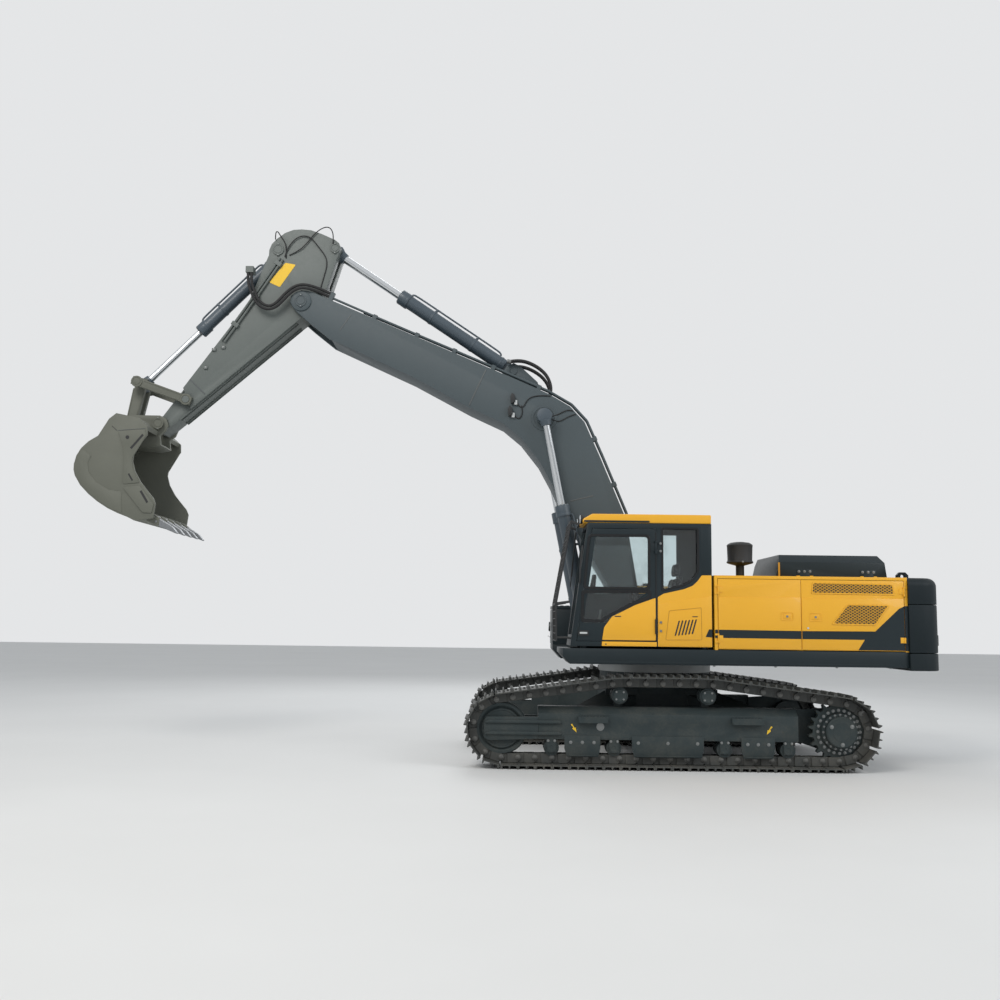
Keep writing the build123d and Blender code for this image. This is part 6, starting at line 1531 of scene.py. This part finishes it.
def build_cylinder(name, barrel_names, rod_names, foot, head, radius, rod, gland, eye, half, places):
    """Tube, rod, gland, oil line and clamps, modelled along X and laid on the two pins."""
    reach = math.hypot(head[0] - foot[0], head[1] - foot[1])
    barrel_node, barrel_body = barrel_names
    rod_node, rod_body = rod_names
    skin = painted(refined(barrel_node, 0.004, 2, 35), "barrel")
    finished(skin, name + "_tubes", barrel_body, replaces=(barrel_node,))
    shaft = painted(refined(rod_node, 0.003, 2, 35), "chrome")
    painted_where(shaft, "barrel", lambda c: math.hypot(c.x - head[0], c.z - head[1]) < eye + 0.012)
    finished(shaft, name + "_rod_shafts", rod_body, replaces=(rod_node,))
    barrel, bright, ends = [], [], []
    collar = [(gland - 0.152, radius + 0.0145), (gland - 0.150, radius + 0.0155),
              (gland - 0.118, radius + 0.0155),
              (gland - 0.112, radius + 0.0145)]
    barrel.append(lathe(collar, (0, 0, 0), "x", 48))
    wiper = [(gland - 0.001, rod + 0.030), (gland + 0.010, rod + 0.028), (gland + 0.014, rod + 0.012),
             (gland + 0.014, rod + 0.001)]
    barrel.append(lathe(wiper, (0, 0, 0), "x", 40))
    port = [(0.230, radius - 0.005), (0.232, radius + 0.006), (0.262, radius + 0.006),
            (0.264, radius - 0.005)]
    barrel.append(lathe(port, (0, 0, 0), "x", 48))
    # oil line along the tube, from the foot's port to the gland's, with its clamps
    side = radius + 0.012
    line = [(0.300, 0, side - 0.02), (0.300, 0, side + 0.022), (0.420, 0, side + 0.030),
            (gland * 0.6, 0, side + 0.030),
            (gland - 0.240, 0, side + 0.030), (gland - 0.130, 0, side + 0.022),
            (gland - 0.130, 0, side - 0.01)]
    barrel.append(tube(line, 0.014, 3))
    for x in (gland * 0.36, gland * 0.72):
        ring = [(x - 0.018, radius - 0.004), (x - 0.018, radius + 0.006), (x + 0.018, radius + 0.006),
                (x + 0.018, radius - 0.004)]
        barrel.append(lathe(ring, (0, 0, 0), "x", 48))
        barrel.append(block((x - 0.018, x + 0.018), (-0.026, 0.026), (radius - 0.002, radius + 0.050), 0.004))
    around = ring_places((gland, 0, 0), radius - 0.006, 10, "x")
    bright.append(bolts(around, (1, 0, 0), 0.012, 0.012, washer=False))
    boss = [(half - 0.004, 0.074), (half + 0.004, 0.072), (half + 0.004, 0.056), (half - 0.004, 0.054)]
    barrel.append(lathe(boss, (0, 0, 0), "y", 40))
    bright.append(bar((0.0, 0, eye - 0.004), (0.0, 0, eye + 0.014), 0.009, 6, 0.001))
    ends.append(bar((reach, 0, eye - 0.004), (reach, 0, eye + 0.014), 0.009, 6, 0.001))
    boss = [(reach - 0.150, rod - 0.002), (reach - 0.146, rod + 0.020), (reach - 0.075, rod + 0.034),
            (reach - 0.060, rod + 0.020)]
    ends.append(lathe(boss, (0, 0, 0), "x", 40))
    for parts, body, slot, label, material in (
            (barrel, barrel_body, "cylinder_paint", "_barrel_fittings", "barrel"),
            (bright, barrel_body, "bright_steel", "_barrel_bolts", "steel"),
            (ends, rod_body, "cylinder_paint", "_rod_eyes", "barrel")):
        unit = painted(joined(parts), material)
        units = [laid_on(copied(unit), foot, head, y) for y in places]
        bpy.data.objects.remove(unit)
        finished(joined(units), name + label, body)


# ---------------------------------------------------------------- bucket, links
def build_bucket():
    skin = painted(refined("bucket", 0.007, 2), "olive")
    finished(skin, "bucket_shell", "bucket", replaces=("bucket",))
    y = BUCKET_SIDE
    parts = []
    # side cutter plate with its slots, wear band round the back and the upper reinforcing plate
    cutter = [(7.437, 3.620), (7.200, 3.650), (7.085, 3.500), (6.995, 3.395), (7.020, 3.268), (7.146, 3.275)]
    parts.append(painted(plate(rounded(cutter, 0.02), (y - 0.012, y + 0.016), "y", 0.004), "olive"))
    upper = [(7.441, 3.665), (7.205, 3.690), (7.318, 3.900), (7.330, 4.030), (7.150, 4.350), (7.165, 4.430),
             (7.345, 4.425),
             (7.545, 4.400), (7.460, 4.180), (7.440, 3.960)]
    parts.append(painted(plate(rounded(upper, 0.03), (y - 0.012, y + 0.010), "y", 0.004), "olive"))
    band = [(8.022, 4.140), (7.900, 4.060), (7.942, 3.955), (7.918, 3.820), (7.803, 3.685), (7.628, 3.584),
            (7.457, 3.560),
            (7.437, 3.262), (7.620, 3.342), (7.765, 3.434), (7.893, 3.537), (8.012, 3.658), (8.094, 3.788),
            (8.113, 3.862),
            (8.113, 3.937), (8.088, 4.050)]
    parts.append(painted(plate(band, (y - 0.012, y + 0.005), "y", 0.002), "olive"))
    # the slots and the hole are flat black strips and a black disc: painted shade in the openings
    slots = (((7.192, 4.362), (7.352, 4.165)), ((7.365, 3.812), (7.306, 3.716)),
             ((7.183, 3.574), (7.082, 3.412)),
             ((7.635, 4.481), (7.560, 4.415)))
    for ends, width, rise in zip(slots, (0.030, 0.022, 0.030, 0.007), (0.010, 0.010, 0.016, 0.0)):
        parts.append(strip(ends, width, y + rise, 0.002, "black", 0.0))
    hole = lathe([(0, 0.026), (0.002, 0.026), (0.002, 0.010)], (7.407, y + 0.010, 4.321), "y", 24)
    parts.append(painted(hole, "black"))
    parts.append(weld([(7.546, y, 4.416), (7.334, y, 4.439), (7.164, y, 4.448)], 0.004))
    side = both_sides(parts)
    finished(side, "bucket_side_plates", "bucket")
    # wear strips across the back and the lip with its tooth adapters
    wear = []
    for i in range(5):
        yy = -0.62 + 0.31 * i
        back = [(7.352, 3.208), (7.490, 3.260), (7.632, 3.325), (7.778, 3.415), (7.909, 3.518),
                (8.032, 3.642), (8.100, 3.750)]
        front = [(x - 0.010, z + 0.016) for x, z in reversed(back)]
        wear.append(painted(plate(back + front, (yy - 0.045, yy + 0.045), "y", 0.003), "worn_steel"))
    finished(joined(wear), "bucket_wear_strips", "bucket")
    teeth = []
    for i in range(5):
        yy = -0.64 + 0.32 * i
        adapter = [(7.120, 3.300), (7.020, 3.262), (6.930, 3.205), (6.900, 3.090), (6.985, 3.118),
                   (7.120, 3.170)]
        teeth.append(painted(plate(adapter, (yy - 0.052, yy + 0.052), "y", 0.010, 3), "olive"))
        tip = plate([(6.940, 3.205), (6.948, 3.092), (6.860, 3.062), (6.700, 2.996), (6.690, 3.008),
                     (6.760, 3.092)],
                    (yy - 0.058, yy + 0.058), "y", 0.0, 1)
        for vertex in tip.data.vertices:
            share = min(1.0, max(0.0, (6.94 - vertex.co.x) / 0.25))
            vertex.co.y = yy + (vertex.co.y - yy) * (1.0 - 0.22 * share)
        teeth.append(painted(soften(tip, 0.008, 3), "worn_steel"))
        teeth.append(painted(bar((6.985, yy - 0.060, 3.160), (6.985, yy + 0.060, 3.160), 0.016, 16, 0.002),
                             "worn_steel"))
    for i in range(4):
        yy = -0.48 + 0.32 * i
        guard = [(7.150, 3.290), (7.030, 3.258), (6.985, 3.205), (7.000, 3.160), (7.140, 3.180)]
        teeth.append(painted(plate(guard, (yy - 0.085, yy + 0.085), "y", 0.006), "worn_steel"))
    finished(joined(teeth), "bucket_teeth_and_adapters", "bucket", replaces=("bucket_teeth",))
    caps = disc_pair(PUSH_PIN, 0.258, 0.066, 0.012, "olive")
    finished(both_sides(caps), "bucket_pin_caps", "bucket")


def build_links():
    links = painted(refined("guide_links", 0.010, 3), "olive")
    finished(links, "guide_link_bars", "guide_links", replaces=("guide_links",))
    parts = []
    for pin in (GUIDE_PIN, LINK_PIN):
        ring = [(0.306, 0.082), (0.320, 0.080), (0.321, 0.060), (0.316, 0.056), (0.316, 0.020)]
        parts.append(painted(lathe(ring, beside(pin, 0), "y", 44), "olive"))
    (x1, z1), (x2, z2) = GUIDE_PIN, LINK_PIN
    length = math.hypot(0.720, 0.256)
    way = ((x2 - x1) / length, (z2 - z1) / length)
    for shift in (0.044, -0.044):
        start = (x1 + way[0] * 0.10 - way[1] * shift, z1 + way[1] * 0.10 + way[0] * shift)
        end = (x2 - way[0] * 0.10 - way[1] * shift, z2 - way[1] * 0.10 + way[0] * shift)
        parts.append(strip([start, end], 0.014, 0.308, 0.006, "olive"))
    finished(both_sides(parts), "guide_link_bosses", "guide_links")
    push = painted(refined("push_link", 0.010, 3), "olive")
    finished(push, "push_link_plates", "push_link", replaces=("push_link",))
    flange = [strip([(7.440, 5.150), (7.540, 4.700)], 0.016, 0.132, 0.006, "olive"),
              strip([(7.590, 5.160), (7.660, 4.740)], 0.016, 0.132, 0.006, "olive")]
    finished(both_sides(flange), "push_link_ribs", "push_link")


# --------------------------------------------------------------- camera, stage
def build_stage():
    camera_data = bpy.data.cameras.new("camera")
    camera_data.lens = LENS
    camera_data.sensor_width = SENSOR
    camera = bpy.data.objects.new("camera", camera_data)
    bpy.context.scene.collection.objects.link(camera)
    ahead = Vector((-math.sin(YAW), -math.cos(YAW), 0))
    right = Vector((-math.cos(YAW), math.sin(YAW), 0))
    rise = Vector((0, 0, 1))
    view = ahead * math.cos(PITCH) + rise * math.sin(PITCH)
    up = rise * math.cos(PITCH) - ahead * math.sin(PITCH)
    across = right * math.cos(ROLL) + up * math.sin(ROLL)
    up = up * math.cos(ROLL) - right * math.sin(ROLL)
    place = Matrix((across, up, -view)).transposed().to_4x4()
    place.translation = CAMERA_PLACE
    camera.matrix_world = place
    bpy.context.scene.camera = camera
    # a wide flat floor
    bpy.ops.object.select_all(action="DESELECT")
    bpy.ops.mesh.primitive_grid_add(x_subdivisions=1, y_subdivisions=1, size=FLOOR_SIZE)
    floor = bpy.context.object
    floor.name = "floor"
    material = bpy.data.materials.new("studio_floor")
    material.use_nodes = True
    net = Net(material.node_tree)
    shader = material.node_tree.nodes["Principled BSDF"]
    spot = net.add("ShaderNodeTexCoord").outputs["Object"]
    cloud = net.noise(spot, 0.35, 3.0)
    net.set(shader, "Base Color", net.blend(cloud, (0.70, 0.70, 0.69, 1), (0.76, 0.76, 0.75, 1)))
    shader.inputs["Roughness"].default_value = 0.75
    floor.data.materials.append(material)
    world = bpy.context.scene.world or bpy.data.worlds.new("studio")
    bpy.context.scene.world = world
    world.use_nodes = True
    net = Net(world.node_tree)
    for node in list(world.node_tree.nodes):
        world.node_tree.nodes.remove(node)
    paths = net.add("ShaderNodeLightPath")
    seen = net.math("ADD", paths.outputs["Is Camera Ray"], paths.outputs["Is Glossy Ray"])
    seen = net.math("ADD", seen, paths.outputs["Is Transmission Ray"], clamp=True)
    light = net.add("ShaderNodeBackground", {"Color": (0.92, 0.96, 1.0, 1.0), "Strength": 0.55})
    backdrop = net.add("ShaderNodeBackground", {"Color": (0.78, 0.79, 0.80, 1.0), "Strength": 1.0})
    mixed = net.add("ShaderNodeMixShader", {0: seen, 1: light.outputs[0], 2: backdrop.outputs[0]})
    net.add("ShaderNodeOutputWorld", {"Surface": mixed.outputs[0]})
    # large soft lamps: (place, target, size, power, tint)
    lamps = (((9.0, 13.0, 15.0), (1.5, 0, 2.5), 9.0, 1500.0, (1.0, 0.97, 0.93)),
             ((-11.0, 9.0, 9.0), (0, 0, 2.0), 9.0, 620.0, (0.94, 0.97, 1.0)),
             ((2.0, -13.0, 12.0), (1.5, 0, 2.5), 10.0, 700.0, (0.96, 0.98, 1.0)))
    for number, (spot, target, size, power, tint) in enumerate(lamps):
        data = bpy.data.lights.new("lamp_%d" % number, "AREA")
        data.shape = "DISK"
        data.size = size
        data.energy = power
        data.color = tint
        lamp = bpy.data.objects.new("lamp_%d" % number, data)
        lamp.location = spot
        lamp.rotation_euler = (Vector(target) - Vector(spot)).to_track_quat("-Z", "Y").to_euler()
        bpy.context.scene.collection.objects.link(lamp)
    bpy.context.scene.view_settings.view_transform = "Standard"


# ------------------------------------------------------------------- operators
def build_cylinders():
    for row in CYLINDERS:
        build_cylinder(*row)


class EXCAVATOR_OT_stage(bpy.types.Operator):
    """Sets up the camera, the floor and the lamps"""
    bl_idname = "excavator.stage"
    bl_label = "Camera, floor and lamps"
    bl_options = {"REGISTER", "UNDO"}

    def execute(self, context):
        build_stage()
        return {"FINISHED"}


class EXCAVATOR_OT_paint(bpy.types.Operator):
    """Makes the paints and gives every node one"""
    bl_idname = "excavator.paint"
    bl_label = "Paints"
    bl_options = {"REGISTER", "UNDO"}

    def execute(self, context):
        make_materials()
        paint_nodes()
        return {"FINISHED"}


class EXCAVATOR_OT_hoses(bpy.types.Operator):
    """Lays the hoses that cross from the boom to the arm"""
    bl_idname = "excavator.hoses"
    bl_label = "Arm hoses"
    bl_options = {"REGISTER", "UNDO"}

    def execute(self, context):
        build_arm_hoses()
        return {"FINISHED"}


class EXCAVATOR_OT_tracks(bpy.types.Operator):
    """Builds the shoes and links of both tracks"""
    bl_idname = "excavator.tracks"
    bl_label = "Tracks"
    bl_options = {"REGISTER", "UNDO"}

    def execute(self, context):
        build_tracks()
        return {"FINISHED"}


class EXCAVATOR_OT_undercarriage(bpy.types.Operator):
    """Adds covers, caps and bolts to the track frames"""
    bl_idname = "excavator.undercarriage"
    bl_label = "Undercarriage"
    bl_options = {"REGISTER", "UNDO"}

    def execute(self, context):
        build_undercarriage()
        return {"FINISHED"}


class EXCAVATOR_OT_rear_body(bpy.types.Operator):
    """Builds the panels, doors and grilles of the body"""
    bl_idname = "excavator.rear_body"
    bl_label = "Rear body"
    bl_options = {"REGISTER", "UNDO"}

    def execute(self, context):
        build_rear_body()
        return {"FINISHED"}


class EXCAVATOR_OT_counterweight(bpy.types.Operator):
    """Builds the cast weight and its fittings"""
    bl_idname = "excavator.counterweight"
    bl_label = "Counterweight"
    bl_options = {"REGISTER", "UNDO"}

    def execute(self, context):
        build_counterweight()
        return {"FINISHED"}


class EXCAVATOR_OT_hood(bpy.types.Operator):
    """Builds the hood, the pre-cleaner and the exhaust"""
    bl_idname = "excavator.hood"
    bl_label = "Hood"
    bl_options = {"REGISTER", "UNDO"}

    def execute(self, context):
        build_hood()
        return {"FINISHED"}


class EXCAVATOR_OT_deck(bpy.types.Operator):
    """Builds the deck, the tool box and its lid"""
    bl_idname = "excavator.deck"
    bl_label = "Deck"
    bl_options = {"REGISTER", "UNDO"}

    def execute(self, context):
        build_deck()
        return {"FINISHED"}


class EXCAVATOR_OT_cab(bpy.types.Operator):
    """Builds the cab's shell, door, panels and roof"""
    bl_idname = "excavator.cab"
    bl_label = "Cab"
    bl_options = {"REGISTER", "UNDO"}

    def execute(self, context):
        build_cab()
        return {"FINISHED"}


class EXCAVATOR_OT_guard(bpy.types.Operator):
    """Builds the mesh guard before the windscreen"""
    bl_idname = "excavator.guard"
    bl_label = "Screen guard"
    bl_options = {"REGISTER", "UNDO"}

    def execute(self, context):
        build_guard()
        return {"FINISHED"}


class EXCAVATOR_OT_seat(bpy.types.Operator):
    """Builds the padded seat, levers and pedals"""
    bl_idname = "excavator.seat"
    bl_label = "Seat and controls"
    bl_options = {"REGISTER", "UNDO"}

    def execute(self, context):
        build_seat()
        return {"FINISHED"}


class EXCAVATOR_OT_boom(bpy.types.Operator):
    """Builds the boom's plates, lamps and pipes"""
    bl_idname = "excavator.boom"
    bl_label = "Boom"
    bl_options = {"REGISTER", "UNDO"}

    def execute(self, context):
        build_boom()
        return {"FINISHED"}


class EXCAVATOR_OT_arm(bpy.types.Operator):
    """Builds the arm's plates and grease lines"""
    bl_idname = "excavator.arm"
    bl_label = "Arm"
    bl_options = {"REGISTER", "UNDO"}

    def execute(self, context):
        build_arm()
        return {"FINISHED"}


class EXCAVATOR_OT_cylinders(bpy.types.Operator):
    """Builds the four hydraulic cylinders"""
    bl_idname = "excavator.cylinders"
    bl_label = "Cylinders"
    bl_options = {"REGISTER", "UNDO"}

    def execute(self, context):
        build_cylinders()
        return {"FINISHED"}


class EXCAVATOR_OT_bucket(bpy.types.Operator):
    """Builds the bucket, its wear plates and teeth"""
    bl_idname = "excavator.bucket"
    bl_label = "Bucket"
    bl_options = {"REGISTER", "UNDO"}

    def execute(self, context):
        build_bucket()
        return {"FINISHED"}


class EXCAVATOR_OT_links(bpy.types.Operator):
    """Builds the guide links and the push link"""
    bl_idname = "excavator.links"
    bl_label = "Bucket links"
    bl_options = {"REGISTER", "UNDO"}

    def execute(self, context):
        build_links()
        return {"FINISHED"}


# in the order in which they run
OPERATORS = (
    EXCAVATOR_OT_stage,
    EXCAVATOR_OT_paint,
    EXCAVATOR_OT_hoses,
    EXCAVATOR_OT_tracks,
    EXCAVATOR_OT_undercarriage,
    EXCAVATOR_OT_rear_body,
    EXCAVATOR_OT_counterweight,
    EXCAVATOR_OT_hood,
    EXCAVATOR_OT_deck,
    EXCAVATOR_OT_cab,
    EXCAVATOR_OT_guard,
    EXCAVATOR_OT_seat,
    EXCAVATOR_OT_boom,
    EXCAVATOR_OT_arm,
    EXCAVATOR_OT_cylinders,
    EXCAVATOR_OT_bucket,
    EXCAVATOR_OT_links,
)


class EXCAVATOR_PT_panel(bpy.types.Panel):
    bl_idname = "EXCAVATOR_PT_panel"
    bl_label = "Excavator"
    bl_space_type = "VIEW_3D"
    bl_region_type = "UI"
    bl_category = "Excavator"

    def draw(self, context):
        for group in (context.scene.excavator_sizes, context.scene.excavator_colours):
            for key in group.bl_rna.properties.keys():
                if key not in ("rna_type", "name"):
                    self.layout.prop(group, key)
        for kind in OPERATORS:
            self.layout.operator(kind.bl_idname)


CLASSES = (ExcavatorSizes, ExcavatorColours) + OPERATORS + (EXCAVATOR_PT_panel,)


def register():
    for kind in CLASSES:
        bpy.utils.register_class(kind)
    bpy.types.Scene.excavator_sizes = bpy.props.PointerProperty(type=ExcavatorSizes)
    bpy.types.Scene.excavator_colours = bpy.props.PointerProperty(type=ExcavatorColours)


def unregister():
    del bpy.types.Scene.excavator_sizes
    del bpy.types.Scene.excavator_colours
    for kind in reversed(CLASSES):
        bpy.utils.unregister_class(kind)


def main():
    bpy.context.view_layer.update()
    register()
    for kind in OPERATORS:
        getattr(bpy.ops.excavator, kind.bl_idname.split(".")[1])()


if __name__ == "__main__":
    main()
